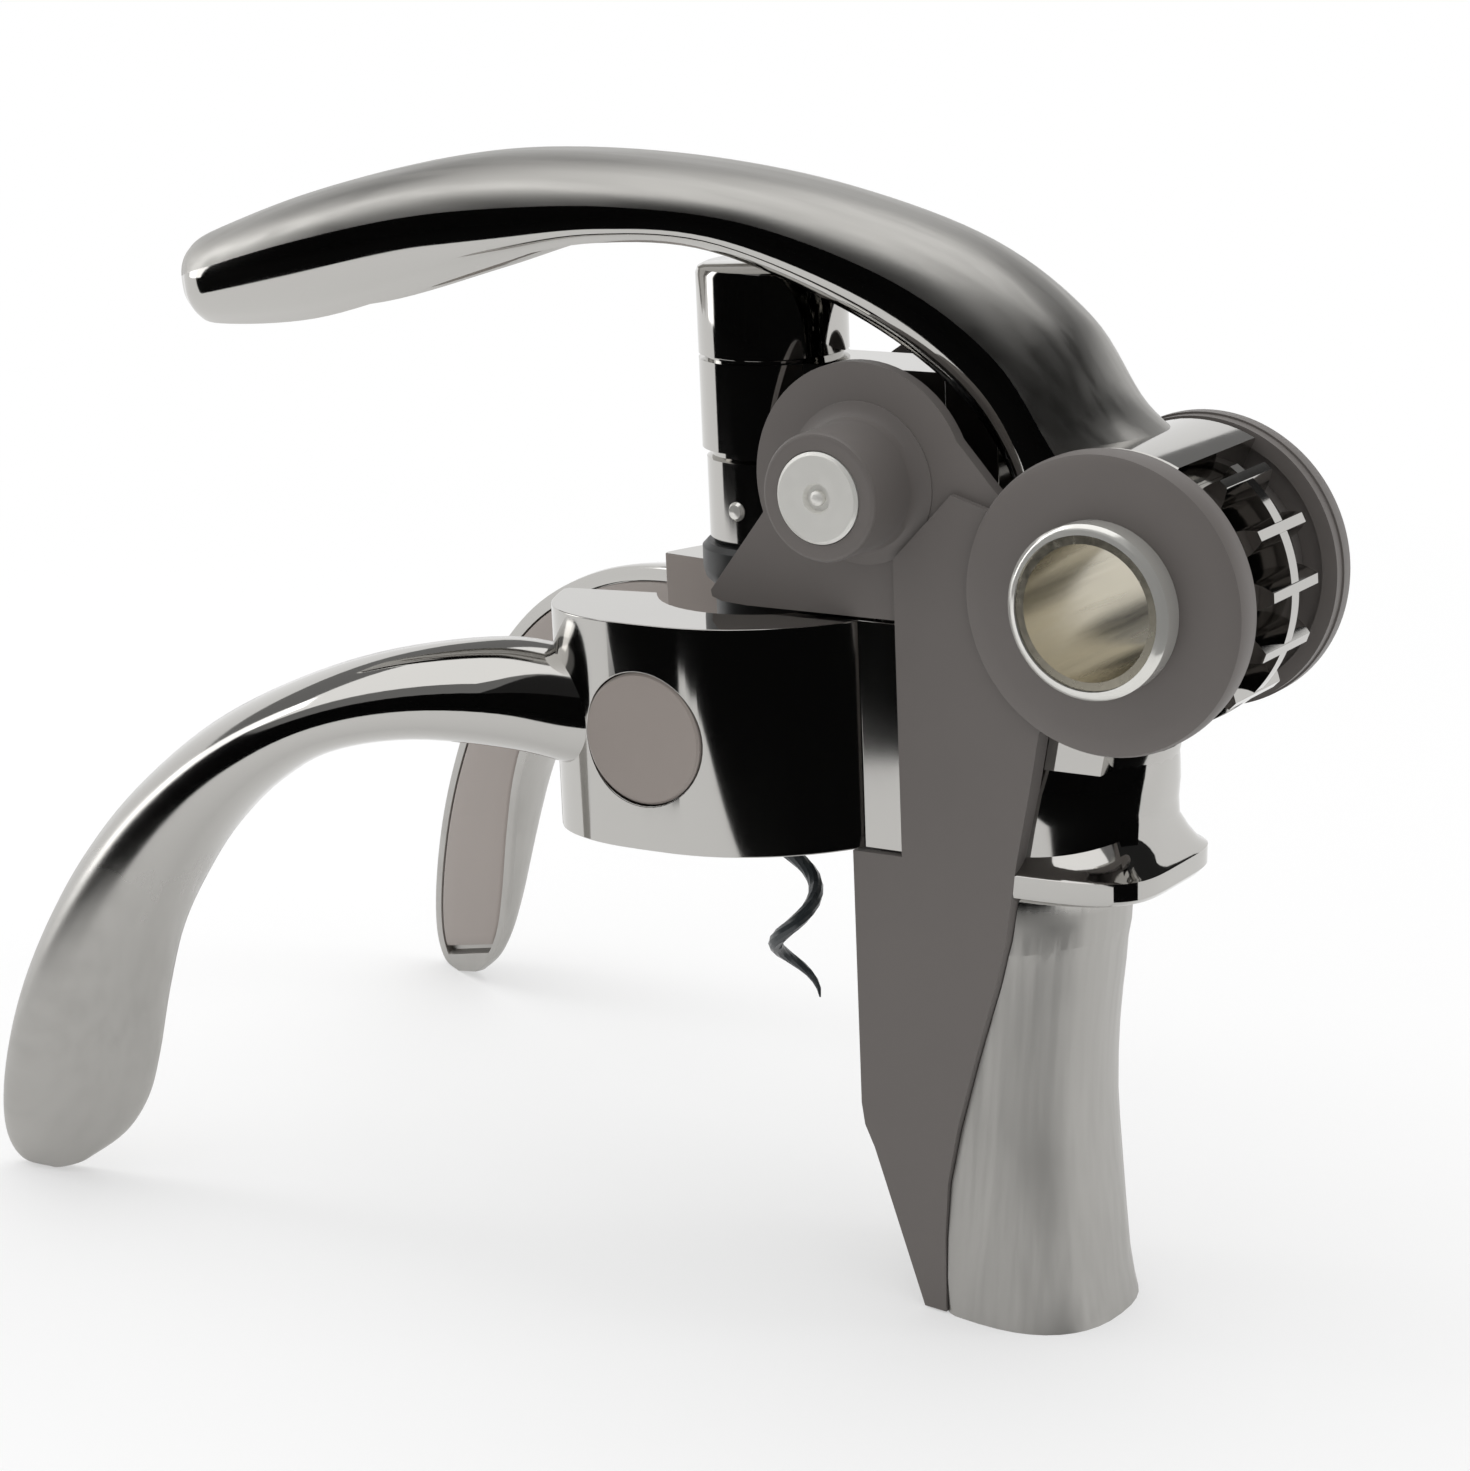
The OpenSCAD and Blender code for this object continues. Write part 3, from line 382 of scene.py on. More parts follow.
def soft_touch(name, colour, rough):
    """Soft-touch coat: matte, with a fine pebble and a faint sheen."""
    finish, tree, shader = new_finish(name)
    shader.inputs["Sheen Weight"].default_value = SOFT_SHEEN
    shader.inputs["Sheen Roughness"].default_value = SHEEN_ROUGH
    cloud = spread(tree, grain(tree, CLOUD_SCALE), 0, 1)
    tree.links.new(tone(tree, cloud, darker(colour, SOFT_SHADE), colour), shader.inputs["Base Color"])
    cloud_rough = spread(tree, cloud, rough - SOFT_ROUGH_SPREAD, rough + SOFT_ROUGH_SPREAD, 0, 1)
    tree.links.new(cloud_rough, shader.inputs["Roughness"])
    relief(tree, shader, grain(tree, PEBBLE_SCALE, detail=PEBBLE_DETAIL), PEBBLE_STRENGTH, PEBBLE_DEPTH)
    return finish


soft_grey = soft_touch("soft touch grey", SOFT_GREY, SOFT_ROUGH)
for side in ("near", "far"):
    dress("side_panel_" + side, soft_grey, PANEL_EDGE)

# Pivot: a hollow axle tube with a soft disc at each side, and a rolled eyelet at each end that holds them on.
# The eyelets are bright nickel, and the bore shows the drawn tube's warmer metal.
NICKEL_BRIGHT = (0.80, 0.79, 0.75, 1)
NICKEL_BORE = (0.58, 0.54, 0.44, 1)
EYELET_ROUGH = 0.16
EYELET_METAL = 0.6
BORE_ROUGH = 0.24
# Stretch of the fine lines: a small share along an axis draws them out that way
EYELET_LINES = (1, 1, 1)
BORE_LINES = (1, 0.05, 1)
LINE_SCALE = 800
LINE_DETAIL = 3
LINE_STRENGTH = 0.05
LINE_DEPTH = 0.00004
LINE_ROUGH_SPREAD = 0.05
TARNISH_SCALE = 40
TARNISH_SHADE = 0.92


def bright(name, colour, rough, stretch, metal=1.0):
    """Bright metal with fine lines; with less than a full share of metal it scatters some light."""
    finish, tree, shader = new_finish(name)
    shader.inputs["Metallic"].default_value = metal
    lines = grain(tree, LINE_SCALE, stretch, LINE_DETAIL)
    line_rough = spread(tree, lines, rough - LINE_ROUGH_SPREAD, rough + LINE_ROUGH_SPREAD)
    tree.links.new(line_rough, shader.inputs["Roughness"])
    tarnish = spread(tree, grain(tree, TARNISH_SCALE), 0, 1)
    tree.links.new(tone(tree, tarnish, darker(colour, TARNISH_SHADE), colour), shader.inputs["Base Color"])
    relief(tree, shader, lines, LINE_STRENGTH, LINE_DEPTH)
    return finish


bright_nickel = bright("bright nickel", NICKEL_BRIGHT, EYELET_ROUGH, EYELET_LINES, EYELET_METAL)
drawn_bore = bright("drawn tube", NICKEL_BORE, BORE_ROUGH, BORE_LINES)
dress("axle_tube", drawn_bore)
for side in ("near", "far"):
    dress("pivot_disc_" + side, soft_grey)
    dress("eyelet_ring_" + side, bright_nickel)

# Gear: cast with the lever's hub and plated with it, seen between the discs at the rear.
# A web runs round the middle of its teeth.
GEAR_EDGE = 0.00018
dress("gear_drum", mirror_nickel, GEAR_EDGE)

# Lever: a long crowned casting, hollow below, that ends in a hub sleeve round the gear.
# Its top is brushed along its length and its sides are mirror bright.
PIVOT_X = 65.5
BRUSHED_ALONG = (0.05, 1, 0.3)
# Upper edge x and z, lower edge x and z, half width, hollow's depth and tuck of the sides as shares
LEVER_STATIONS = [
    (-180.0, 39.6, -179.7, 37.4, 1.6, 0.02, 0.5),
    (-179.3, 41.4, -178.4, 34.9, 5.0, 0.05, 0.6),
    (-177.0, 43.7, -175.2, 32.4, 8.4, 0.10, 0.7),
    (-171.5, 46.3, -169.0, 30.9, 11.4, 0.20, 0.9),
    (-151.2, 52.9, -147.6, 33.0, 14.4, 0.42, 1.0),
    (-126.0, 58.6, -124.2, 39.4, 15.4, 0.58, 0.85),
    (-105.0, 60.6, -107.0, 44.6, 15.4, 0.66, 0.60),
    (-79.0, 59.7, -89.0, 48.0, 14.6, 0.70, 0.50),
    (-53.0, 55.9, -69.0, 47.2, 12.95, 0.70, 0.55),
    (-29.0, 48.7, -45.0, 38.9, 12.8, 0.66, 0.65),
    (-13.0, 38.0, -28.5, 29.0, 12.8, 0.56, 0.65),
    (-4.0, 25.4, -19.5, 18.6, 12.8, 0.30, 0.55),
    (6.0, 19.0, -15.5, 7.0, 12.8, 0.20, 0.3),
]
LEVER_STEPS = 8
LEVER_WALL = 1.6
LEVER_SQUARE = 0.8
INNER_LEAST = 0.6
CROWN_POINTS = 30
SIDE_POINTS = 10
HOLLOW_POINTS = 20
RIM_SHARE = 0.05
SATIN_FROM = math.radians(14)
SATIN_EDGE = math.radians(1)
TUCK_ANGLE = math.radians(50)
TUCK_HEIGHT = 0.40
SLEEVE_INNER = 16.79
SLEEVE_OUTER = 22.0
SLEEVE_HALF = 12.9
SLEEVE_FROM = 64
SLEEVE_TO = 152
SLEEVE_STEP = 4
SLEEVE_EDGE = 0.5


def through(points, steps):
    """A smooth curve through a row of points, with the same steps in each span."""
    last = len(points) - 1
    curve = []
    for i in range(last):
        a, b, c, d = (points[max(0, min(last, i + k))] for k in (-1, 0, 1, 2))
        for s in range(steps):
            t = s / steps
            curve.append(tuple(
                0.5 * (
                    2 * q + (r - p) * t
                    + (2 * p - 5 * q + 4 * r - w) * t * t
                    + (3 * q - p - 3 * r + w) * t ** 3
                )
                for p, q, r, w in zip(a, b, c, d)
            ))
    return curve + [tuple(points[last])]


def satin_attribute(tree):
    """The satin share that a piece's points carry."""
    attribute = tree.nodes.new("ShaderNodeAttribute")
    attribute.attribute_name = "satin"
    return attribute.outputs["Fac"]


def lever_section(up_x, up_z, low_x, low_z, half, hollow, tuck):
    """Points and satin shares of one section: crown from side to side, rim, then the hollow back."""
    def at(y, rise):
        return (PIVOT_X + low_x + (up_x - low_x) * rise, y, low_z + (up_z - low_z) * rise)

    tuck = max(0.0, tuck)
    under = tuck * TUCK_ANGLE
    waist = RIM_SHARE + tuck * TUCK_HEIGHT
    # The satin's edge runs along one row of points
    side = [-under + (SATIN_FROM + under) * k / SIDE_POINTS for k in range(SIDE_POINTS + 1)]
    crown_from = SATIN_FROM + SATIN_EDGE
    crown = [crown_from + (math.pi - 2 * crown_from) * k / CROWN_POINTS for k in range(CROWN_POINTS + 1)]
    ring = []
    share = []
    for a in side + crown + [math.pi - a for a in reversed(side)]:
        if math.sin(a) >= 0:
            rise = waist + (1 - waist) * math.sin(a) ** LEVER_SQUARE
        else:
            rise = waist + (waist - RIM_SHARE) * math.sin(a) / math.sin(under)
        ring.append(at(half * power(math.cos(a), LEVER_SQUARE), rise))
        share.append(1.0 if a in crown else 0.0)
    rim = half * math.cos(under) ** LEVER_SQUARE
    inner = max(rim - LEVER_WALL, INNER_LEAST * rim)
    ring.append(at(-(rim + inner) / 2, 0))
    for k in range(HOLLOW_POINTS + 1):
        a = math.pi * k / HOLLOW_POINTS
        rise = RIM_SHARE + max(hollow - RIM_SHARE, 0) * math.sin(a) ** LEVER_SQUARE
        ring.append(at(-inner * power(math.cos(a), LEVER_SQUARE), rise))
    ring.append(at((rim + inner) / 2, 0))
    share += [0.0] * (len(ring) - len(share))
    return ring, share


def sleeve_section(degrees):
    """One section of the hub sleeve, with broken outer edges."""
    a = math.radians(degrees)
    outline = [
        (SLEEVE_INNER, -SLEEVE_HALF),
        (SLEEVE_OUTER - SLEEVE_EDGE, -SLEEVE_HALF),
        (SLEEVE_OUTER, -SLEEVE_HALF + SLEEVE_EDGE),
        (SLEEVE_OUTER, SLEEVE_HALF - SLEEVE_EDGE),
        (SLEEVE_OUTER - SLEEVE_EDGE, SLEEVE_HALF),
        (SLEEVE_INNER, SLEEVE_HALF),
    ]
    return [(PIVOT_X + r * math.cos(a), y, r * math.sin(a)) for r, y in outline]


lever_sections = [lever_section(*station) for station in through(LEVER_STATIONS, LEVER_STEPS)]
lever_rings = [ring for ring, share in lever_sections]
sleeve_rings = [sleeve_section(a) for a in range(SLEEVE_FROM, SLEEVE_TO + 1, SLEEVE_STEP)]
lever_satin = [value for ring, share in lever_sections for value in share]
lever_satin += [0.0 for ring in sleeve_rings for point in ring]
worked_nickel = nickel("worked nickel", satin_attribute, BRUSHED_ALONG)
lever = make_piece("lever", [lever_rings, sleeve_rings], 1, worked_nickel, lever_satin)
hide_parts("lever_arm")
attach(lever, "lever")

# Guide: a nylon roller behind the rack, on a steel axle between two bushes, with a satin cap at each end.
# The nut and the bottle liners are of the same nylon.
# The hinge pins, the nut's plate and the worm's spindle are of the same steel.
NYLON_DARK = (0.012, 0.013, 0.013, 1)
NYLON_LIGHT = (0.022, 0.023, 0.024, 1)
NYLON_ROUGH = (0.34, 0.48)
NYLON_CLOUD = 120
# Scale and detail of the moulded grain, then its strength and depth
NYLON_GRAIN = (1500, 2)
NYLON_RELIEF = (0.08, 0.00006)
STEEL = (0.46, 0.45, 0.43, 1)
STEEL_ROUGH = 0.26
STEEL_LINES = (1, 1, 0.1)
CAP_ROUGH = 0.34
CAP_METAL = 0.3
CAP_LINES = (1, 0.2, 1)


def clouded(name, dark, light, rough, cloud_scale, fine_grain, fine_relief):
    """A plain coat whose colour and shine drift a little over a fine relief."""
    finish, tree, shader = new_finish(name)
    cloud = spread(tree, grain(tree, cloud_scale), 0, 1)
    tree.links.new(tone(tree, cloud, dark, light), shader.inputs["Base Color"])
    tree.links.new(spread(tree, cloud, *rough, 0, 1), shader.inputs["Roughness"])
    scale, detail = fine_grain
    relief(tree, shader, grain(tree, scale, detail=detail), *fine_relief)
    return finish


black_nylon = clouded(
    "black nylon", NYLON_DARK, NYLON_LIGHT, NYLON_ROUGH, NYLON_CLOUD, NYLON_GRAIN, NYLON_RELIEF,
)
plain_steel = bright("plain steel", STEEL, STEEL_ROUGH, STEEL_LINES)
spun_nickel = bright("spun nickel", NICKEL_BRIGHT, CAP_ROUGH, CAP_LINES, CAP_METAL)
for name in ("guide_roller", "roller_bushes", "worm_nut", "neck_liner_near", "neck_liner_far"):
    dress(name, black_nylon)
for name in ("guide_axle", "jaw_hinge_pins", "nut_plate", "worm_spindle"):
    dress(name, plain_steel)
for side in ("near", "far"):
    dress("rivet_cap_" + side, spun_nickel)

# Carrier: cap, sleeve and barrel turned and plated like the lever, with a rack that the gear drives.
# Ring grooves part the three, and a small screw locks the barrel.
RACK_EDGE = 0.0002
for name in ("carrier_sleeve", "carrier_cap", "carrier_barrel"):
    dress(name, mirror_nickel)
dress("rack_bar", mirror_nickel, RACK_EDGE)
dress("barrel_screw", bright_nickel)

# Worm: an open helix of steel wire, drawn to a point, with a slick dark coat.
# It turns in the carrier as the nut's slotted plate makes it.
COAT_DARK = (0.030, 0.036, 0.040, 1)
COAT_LIGHT = (0.055, 0.062, 0.066, 1)
COAT_ROUGH = (0.2, 0.32)
COAT_CLOUD = 200
COAT_GRAIN = (900, 4)
COAT_RELIEF = (0.05, 0.00005)
slick_coat = clouded(
    "slick coat", COAT_DARK, COAT_LIGHT, COAT_ROUGH, COAT_CLOUD, COAT_GRAIN, COAT_RELIEF,
)
dress("worm", slick_coat)

# Jaws: two plated half rings on hinge pins, lined inside with a soft coat for the bottle's neck.
# Each face is full in front, with a soft round cover let into it.
PAD_BROWN = (0.315, 0.275, 0.25, 1)
PAD_ROUGH = 0.46
HINGE = (25.6, -10.5)
HINGE_RADIUS = 4.0
PIN_HOLE = 2.6
PIN_OVERRUN = 1.0
BLOCK_FACE = -15.5
JAW_LOW = -42.0
JAW_TOP = -6.5
JAW_EDGE = 0.0005
JAW_CENTRE = (-3.5, -0.6)
JAW_RADIUS = 30.3
JAW_FROM = -29.4
JAW_TO = -87.2
# Face from the side of the cover forward, and round to the jaw's end
JAW_FRONT = [
    (-2.0, -30.9), (-8.0, -31.0), (-14.0, -30.7), (-19.5, -29.4),
    (-24.5, -26.9), (-28.0, -23.2), (-30.2, -18.6), (-31.6, -14.6),
]
JAW_FRONT_STEPS = 4
JAW_TIP = (-31.2, -13.7)
BORE_CENTRE = (-1.0, -2.4)
BORE_RADIUS = 17.5
BORE_FROM = 210.2
BORE_TO = 346.5
ARC_STEPS = 18
COVER_PLACE = (-7.0, -24.5)
COVER_SEAT = 10.5
SEAT_FACE = -29.35
SEAT_OUT = -60.0
SEAT_STEPS = 54


def arc(centre, radius, start, stop, steps=ARC_STEPS):
    """Points round an arc in one plane, in degrees."""
    turns = [math.radians(start + (stop - start) * k / steps) for k in range(steps + 1)]
    return [(centre[0] + radius * math.cos(a), centre[1] + radius * math.sin(a)) for a in turns]


jaw_outer = arc(JAW_CENTRE, JAW_RADIUS, JAW_FROM, JAW_TO)[:-1] + through(JAW_FRONT, JAW_FRONT_STEPS)
jaw_lining = [JAW_TIP] + arc(BORE_CENTRE, BORE_RADIUS, BORE_FROM, BORE_TO)
jaw_block = arc(HINGE, HINGE_RADIUS, 90, 0) + [(HINGE[0] + HINGE_RADIUS, BLOCK_FACE)]
jaw_plan = jaw_outer + jaw_lining + jaw_block
jaw_rings = [[(x, y, z) for x, y in jaw_plan] for z in (JAW_LOW, JAW_TOP)]
lining_faces = range(len(jaw_outer), len(jaw_outer) + len(jaw_lining) - 1)
pin_plan = arc(HINGE, PIN_HOLE, 0, 360)[:-1]
pin_rings = [[(x, y, z) for x, y in pin_plan] for z in (JAW_LOW - PIN_OVERRUN, JAW_TOP + PIN_OVERRUN)]
seat_outline = arc(COVER_PLACE, COVER_SEAT, 0, 360, SEAT_STEPS)[:-1]
seat_rings = [[(x, y, z) for x, z in seat_outline] for y in (SEAT_OUT, SEAT_FACE)]
pad_brown = soft_touch("soft pad", PAD_BROWN, PAD_ROUGH)
for side, turn in (("near", 1), ("far", -1)):
    jaw = make_piece("jaw_" + side + "_casting", [jaw_rings], turn, mirror_nickel)
    jaw.data.materials.append(pad_brown)
    for k in lining_faces:
        jaw.data.polygons[k].material_index = 1
    carve(jaw, pin_rings, turn)
    carve(jaw, seat_rings, turn)
    break_edges(jaw, JAW_EDGE)
    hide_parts("jaw_" + side)
    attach(jaw, "clamp_" + side)
    dress("jaw_cover_" + side, pad_brown)

# Handles: curved castings fixed to the jaws, round at the back and flat inside, down to the table.
# They are mirror bright by the jaws and rubbed to a satin towards their ends, with a soft pad let into each.
HANDLE_OPEN = math.radians(22)
HANDLE_FACE = 1.5
TIP_Z = -102.0
# Outer edge x and z, inner edge x and z, depth of the back, and satin share
HANDLE_STATIONS = [
    (-16.0, -16.0, -16.0, -33.2, 9.5, 0.0),
    (-24.0, -14.0, -24.0, -32.4, 11.2, 0.0),
    (-36.0, -12.0, -34.0, -29.6, 13.6, 0.0),
    (-54.0, -14.0, -50.0, -27.8, 14.0, 0.0),
    (-70.0, -18.8, -64.0, -29.8, 14.0, 0.05),
    (-85.0, -26.2, -74.0, -35.4, 14.0, 0.2),
    (-98.0, -36.6, -82.0, -43.0, 13.6, 0.45),
    (-108.0, -48.2, -88.0, -51.6, 13.0, 0.7),
    (-116.0, TIP_Z + 40.8, -92.6, TIP_Z + 41.6, 11.8, 0.9),
    (-121.6, TIP_Z + 28.5, -95.8, TIP_Z + 31.0, 10.0, 1.0),
    (-125.2, TIP_Z + 16.0, -98.4, TIP_Z + 20.0, 7.6, 1.0),
    (-126.0, TIP_Z + 6.5, -101.0, TIP_Z + 12.2, 5.4, 1.0),
    (-123.6, TIP_Z + 1.2, -105.4, TIP_Z + 6.0, 4.0, 1.0),
    (-118.6, TIP_Z, -112.0, TIP_Z + 1.4, 3.4, 1.0),
]
HANDLE_STEPS = 6
BACK_POINTS = 26
BACK_SQUARE = 0.85
EDGE_DEPTH = 0.6
# Where the flat face's edge turns, as shares of half the width, and how deep
FACE_EDGE = [(0.97, 0.12), (0.93, 0)]
# First and last section of the pad's recess, counted from the jaw
PAD_FIRST = 10
PAD_LAST = 70
PAD_BORDER = 2.6
BORDER_MOST = 0.42
PAD_DEPTH = 1.2
PAD_GAP = 0.25
PAD_CREASE = 50
PAD_END_DEPTH = 0.3
PAD_CROWN = -0.08
PAD_LIFT = 0.05
PAD_FOOT = PAD_DEPTH - PAD_LIFT
RECESS_WALL = 0.02
# Share of half the pad's width, and depth, across the pad
PAD_PROFILE = [
    (-1, PAD_FOOT), (-1, 0.3), (-0.96, 0.06), (-0.9, 0), (-0.5, -0.06), (0, PAD_CROWN),
    (0.5, -0.06), (0.9, 0), (0.96, 0.06), (1, 0.3), (1, PAD_FOOT),
]


def opened(x, y, z):
    """A point of a handle drawn straight ahead, turned to where the open jaw holds it."""
    dx, dy = x - HINGE[0], y - HINGE[1]
    c, s = math.cos(HANDLE_OPEN), math.sin(HANDLE_OPEN)
    return (HINGE[0] + c * dx - s * dy, HINGE[1] + s * dx + c * dy, z)


def handle_point(station, along, depth):
    """A point of a section: along from -1 at the inner edge to 1 at the outer one, depth behind the face."""
    out_x, out_z, in_x, in_z = station[:4]
    x = (out_x + in_x) / 2 + (out_x - in_x) / 2 * along
    z = (out_z + in_z) / 2 + (out_z - in_z) / 2 * along
    return opened(x, -(HANDLE_FACE + depth), z)


def pad_share(station, border):
    """Half the pad's width as a share of the section's."""
    width = math.dist(station[:2], station[2:4])
    return 1 - 2 * min(BORDER_MOST, border / width)


def handle_section(station, recess):
    """A rounded back, and a flat inner face with the pad's recess."""
    bulge = station[4]
    ring = []
    for k in range(BACK_POINTS + 1):
        a = math.pi * (k / BACK_POINTS - 0.5)
        depth = EDGE_DEPTH + (bulge - EDGE_DEPTH) * max(math.cos(a), 0) ** BACK_SQUARE
        ring.append(handle_point(station, math.sin(a), depth))
    wide = pad_share(station, PAD_BORDER)
    half_face = FACE_EDGE + [(wide, 0), (wide - RECESS_WALL, recess)]
    other_half = [(-along, depth) for along, depth in reversed(half_face)]
    return ring + [handle_point(station, along, depth) for along, depth in half_face + other_half]


def pad_section(station, least_depth):
    """The pad in its recess, with a soft edge and a slight crown."""
    wide = pad_share(station, PAD_BORDER + PAD_GAP)
    return [
        handle_point(station, wide * along, max(depth, least_depth) if depth < PAD_FOOT else depth)
        for along, depth in PAD_PROFILE
    ]


handle_curve = through(HANDLE_STATIONS, HANDLE_STEPS)
handle_rings = [
    handle_section(station, PAD_DEPTH if PAD_FIRST <= i <= PAD_LAST else 0)
    for i, station in enumerate(handle_curve)
]
handle_satin = [max(0.0, min(1.0, station[5])) for station in handle_curve for point in handle_rings[0]]
pad_rings = [
    pad_section(station, PAD_END_DEPTH if i in (PAD_FIRST + 1, PAD_LAST - 1) else PAD_CROWN)
    for i, station in enumerate(handle_curve) if PAD_FIRST < i < PAD_LAST
]
for side, turn in (("near", 1), ("far", -1)):
    casting = make_piece("handle_" + side + "_casting", [handle_rings], turn, worked_nickel, handle_satin)
    carve(casting, seat_rings, turn)
    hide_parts("handle_" + side)
    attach(casting, "clamp_" + side)
    pad = make_piece("pad_" + side, [pad_rings], turn, pad_brown, crease=PAD_CREASE)
    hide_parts("grip_pad_" + side)
    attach(pad, "clamp_" + side)

# Studio paper: plain white, under and behind the tool.
# It takes a soft shadow close to the tool and is blown out to white further off.
FLOOR_REACH = 6.0
PAPER_WHITE = (0.92, 0.92, 0.92, 1)
PAPER_ROUGH = 0.8
PAPER_SHINE = 0.1
# Share of pure white close to the tool and away from it, and the distances between which it changes
WHITE_NEAR = 0.45
WHITE_FAR = 1.0
SHADOW_REACH = (0.16, 0.55)
# Strength of the white surround as a light, and as it is seen
SKY_LIGHT = 0.66
SKY_SEEN = 1.0
FLOOR_CORNERS = ((-1, -1), (1, -1), (1, 1), (-1, 1))


def seen_rays(tree):
    """1 for rays that show a surface: from the camera, or by way of a reflection or clear piece."""
    path = tree.nodes.new("ShaderNodeLightPath")
    first = joined(tree, "MAXIMUM", path.outputs["Is Camera Ray"], path.outputs["Is Glossy Ray"])
    return joined(tree, "MAXIMUM", first, path.outputs["Is Transmission Ray"])


paper, paper_tree, paper_shader = new_finish("white paper")
paper_shader.inputs["Base Color"].default_value = PAPER_WHITE
paper_shader.inputs["Roughness"].default_value = PAPER_ROUGH
paper_shader.inputs["Specular IOR Level"].default_value = PAPER_SHINE
paper_glow = paper_tree.nodes.new("ShaderNodeEmission")
paper_mix = paper_tree.nodes.new("ShaderNodeMixShader")
paper_place = paper_tree.nodes.new("ShaderNodeTexCoord")
paper_reach = paper_tree.nodes.new("ShaderNodeVectorMath")
paper_reach.operation = "LENGTH"
paper_tree.links.new(paper_place.outputs["Object"], paper_reach.inputs[0])
paper_white = spread(paper_tree, paper_reach.outputs["Value"], WHITE_NEAR, WHITE_FAR, *SHADOW_REACH)
paper_seen = joined(paper_tree, "MULTIPLY", paper_white, seen_rays(paper_tree))
paper_tree.links.new(paper_seen, paper_mix.inputs["Fac"])
paper_tree.links.new(paper_shader.outputs["BSDF"], paper_mix.inputs[1])
paper_tree.links.new(paper_glow.outputs["Emission"], paper_mix.inputs[2])
paper_tree.links.new(paper_mix.outputs["Shader"], paper_tree.nodes["Material Output"].inputs["Surface"])
floor_mesh = bpy.data.meshes.new("floor")
floor_points = [(x * FLOOR_REACH, y * FLOOR_REACH, 0) for x, y in FLOOR_CORNERS]
floor_mesh.from_pydata(floor_points, [], [(0, 1, 2, 3)])
floor_mesh.materials.append(paper)
floor = add_piece("floor", floor_mesh)

world = bpy.data.worlds.new("studio")
world.use_nodes = True
bpy.context.scene.world = world
sky_tree = world.node_tree
sky = sky_tree.nodes["Background"]
sky.inputs["Color"].default_value = (1, 1, 1, 1)
sky_tree.links.new(spread(sky_tree, seen_rays(sky_tree), SKY_LIGHT, SKY_SEEN, 0, 1), sky.inputs["Strength"])

# Camera: a long lens a little above the tool, on its near side and to the rear.
# It stands where the photo was taken from, so that the render can be laid over the photo.
CAMERA_PLACE = stand @ Vector((327.1, -514.6, 129.5))
CAMERA_AZIMUTH = math.radians(33.24)
CAMERA_ELEVATION = math.radians(14.68)
CAMERA_ROLL = math.radians(-2.39)
CAMERA_SENSOR = 36
CAMERA_LENS = 97.96
CAMERA_NEAR = 0.01
camera_data = bpy.data.cameras.new("camera")
camera_data.sensor_fit = "HORIZONTAL"
camera_data.sensor_width = CAMERA_SENSOR
camera_data.lens = CAMERA_LENS
camera_data.clip_start = CAMERA_NEAR
camera = add_piece("camera", camera_data)
camera.matrix_world = (
    Matrix.Translation(CAMERA_PLACE)
    @ Matrix.Rotation(-LEAN, 4, "Y")
    @ Matrix.Rotation(CAMERA_AZIMUTH, 4, "Z")
    @ Matrix.Rotation(math.pi / 2 - CAMERA_ELEVATION, 4, "X")
    @ Matrix.Rotation(CAMERA_ROLL, 4, "Z")
)
bpy.context.scene.camera = camera

# Lights: a broad softbox overhead, a narrow strip at the left, and another at the tool's rear.
# All three face the tool, and the polished metal doesn't show the one at the rear.
TOOL_MIDDLE = Vector((-0.04, 0, 0.09))
# Name, place, width, height, watts, and whether reflections show it
LIGHTS = [
    ("overhead softbox", (-0.30, 0.10, 0.95), 1.5, 1.0, 5.4, True),
    ("left strip", (-0.95, -0.25, 0.40), 0.25, 0.9, 1.4, True),
    ("rear strip", (0.75, 0.55, 0.45), 0.25, 0.8, 1.2, False),
]
for name, place, width, height, watts, shown in LIGHTS:
    lamp = bpy.data.lights.new(name, "AREA")
    lamp.shape = "RECTANGLE"
    lamp.size = width
    lamp.size_y = height
    lamp.energy = watts
    box = add_piece(name, lamp)
    box.location = place
    box.rotation_euler = (TOOL_MIDDLE - Vector(place)).to_track_quat("-Z", "Y").to_euler()
    box.visible_glossy = shown

# Cards: a black sweep low in front, and a ceiling that is grey at the left and near black at the right.
# Only reflections show them; they give the polished metal its dark bands.
CARD_BLACK = (0.004, 0.004, 0.004, 1)
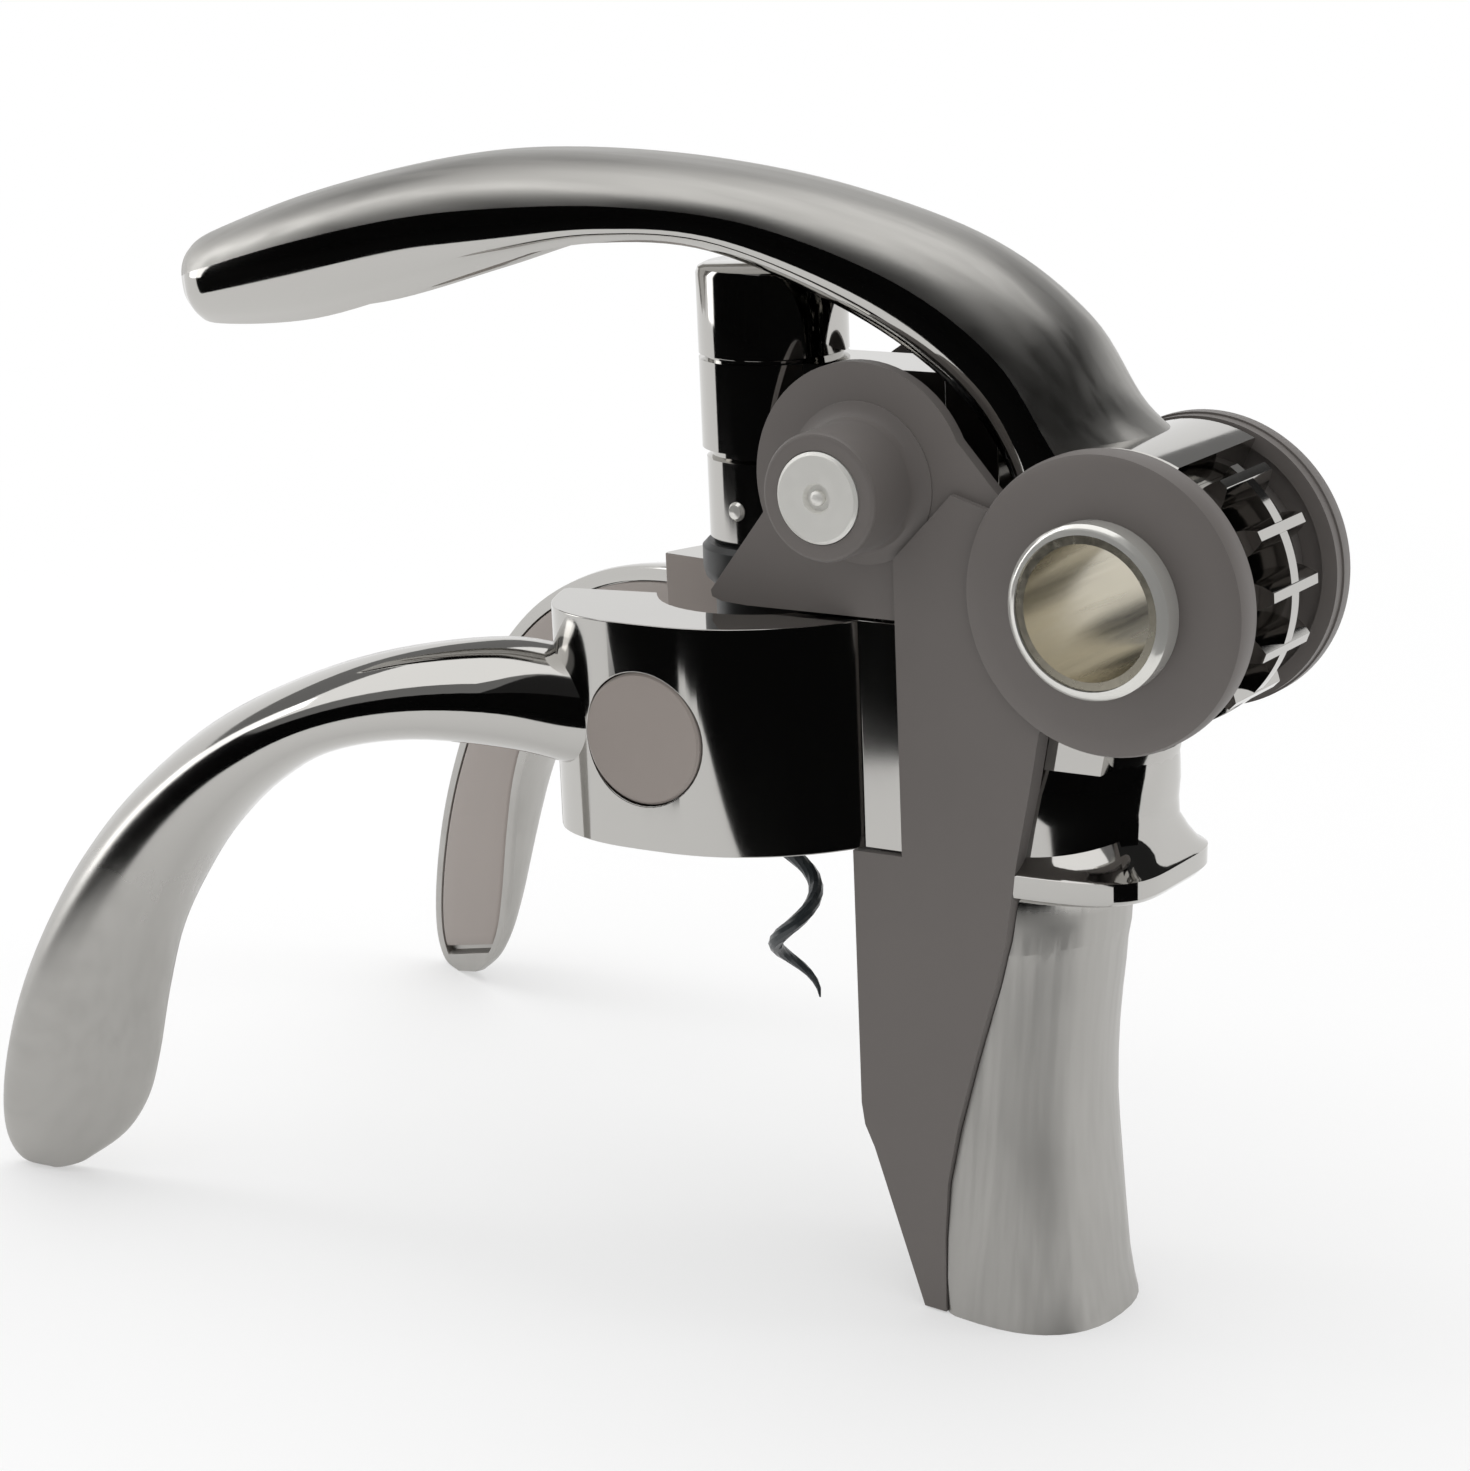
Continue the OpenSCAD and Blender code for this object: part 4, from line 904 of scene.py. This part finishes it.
# Compass angle and distance of the sweep's near edge, beyond which the paper is covered
SWEEP_EDGE = [
    (198, 0.46), (222, 0.46), (230, 0.29), (242, 0.29),
    (247, 0.40), (258, 0.38), (280, 0.26), (360, 0.21),
]
SWEEP_FAR = 1.6
SWEEP_TOP = 1.1
SWEEP_RISE = 0.002
CEILING_REACH = 2.6
CEILING_HEIGHT = 1.25
CEILING_SPLIT = 0.2
CEILING_GLOW = 0.22
CEILING_DARK = 0.02


def black_card(name, corners, faces, glow):
    """A dark card that only reflections show, with what light it gives back."""
    finish, tree, shader = new_finish(name)
    shader.inputs["Base Color"].default_value = CARD_BLACK
    shader.inputs["Specular IOR Level"].default_value = 0
    shader.inputs["Emission Color"].default_value = (1, 1, 1, 1)
    shader.inputs["Emission Strength"].default_value = glow
    mesh = bpy.data.meshes.new(name)
    mesh.from_pydata(corners, [], faces)
    mesh.materials.append(finish)
    card = add_piece(name, mesh)
    card.visible_camera = False
    card.visible_diffuse = False
    card.visible_shadow = False
    card.visible_transmission = False


def from_origin(degrees, distance, height):
    """A place by its compass angle, distance and height from the table frame's origin."""
    a = math.radians(degrees)
    return (distance * math.cos(a), distance * math.sin(a), height)


near_edge = [from_origin(a, r, SWEEP_RISE) for a, r in SWEEP_EDGE]
far_edge = [from_origin(a, SWEEP_FAR, SWEEP_RISE) for a, r in SWEEP_EDGE]
top_edge = [from_origin(a, SWEEP_FAR, SWEEP_TOP) for a, r in SWEEP_EDGE]
row = len(SWEEP_EDGE)
sweep_faces = [(i + k, i + k + 1, i + row + k + 1, i + row + k) for i in (0, row) for k in range(row - 1)]
black_card("black sweep", near_edge + far_edge + top_edge, sweep_faces, 0.0)
for name, left, right, glow in (
    ("ceiling_left", -CEILING_REACH, CEILING_SPLIT, CEILING_GLOW),
    ("ceiling_right", CEILING_SPLIT, CEILING_REACH, CEILING_DARK),
):
    corners = ((left, -CEILING_REACH), (right, -CEILING_REACH), (right, CEILING_REACH), (left, CEILING_REACH))
    black_card(name, [(x, y, CEILING_HEIGHT) for x, y in corners], [(0, 1, 2, 3)], glow)

bpy.context.scene.view_settings.view_transform = "Standard"
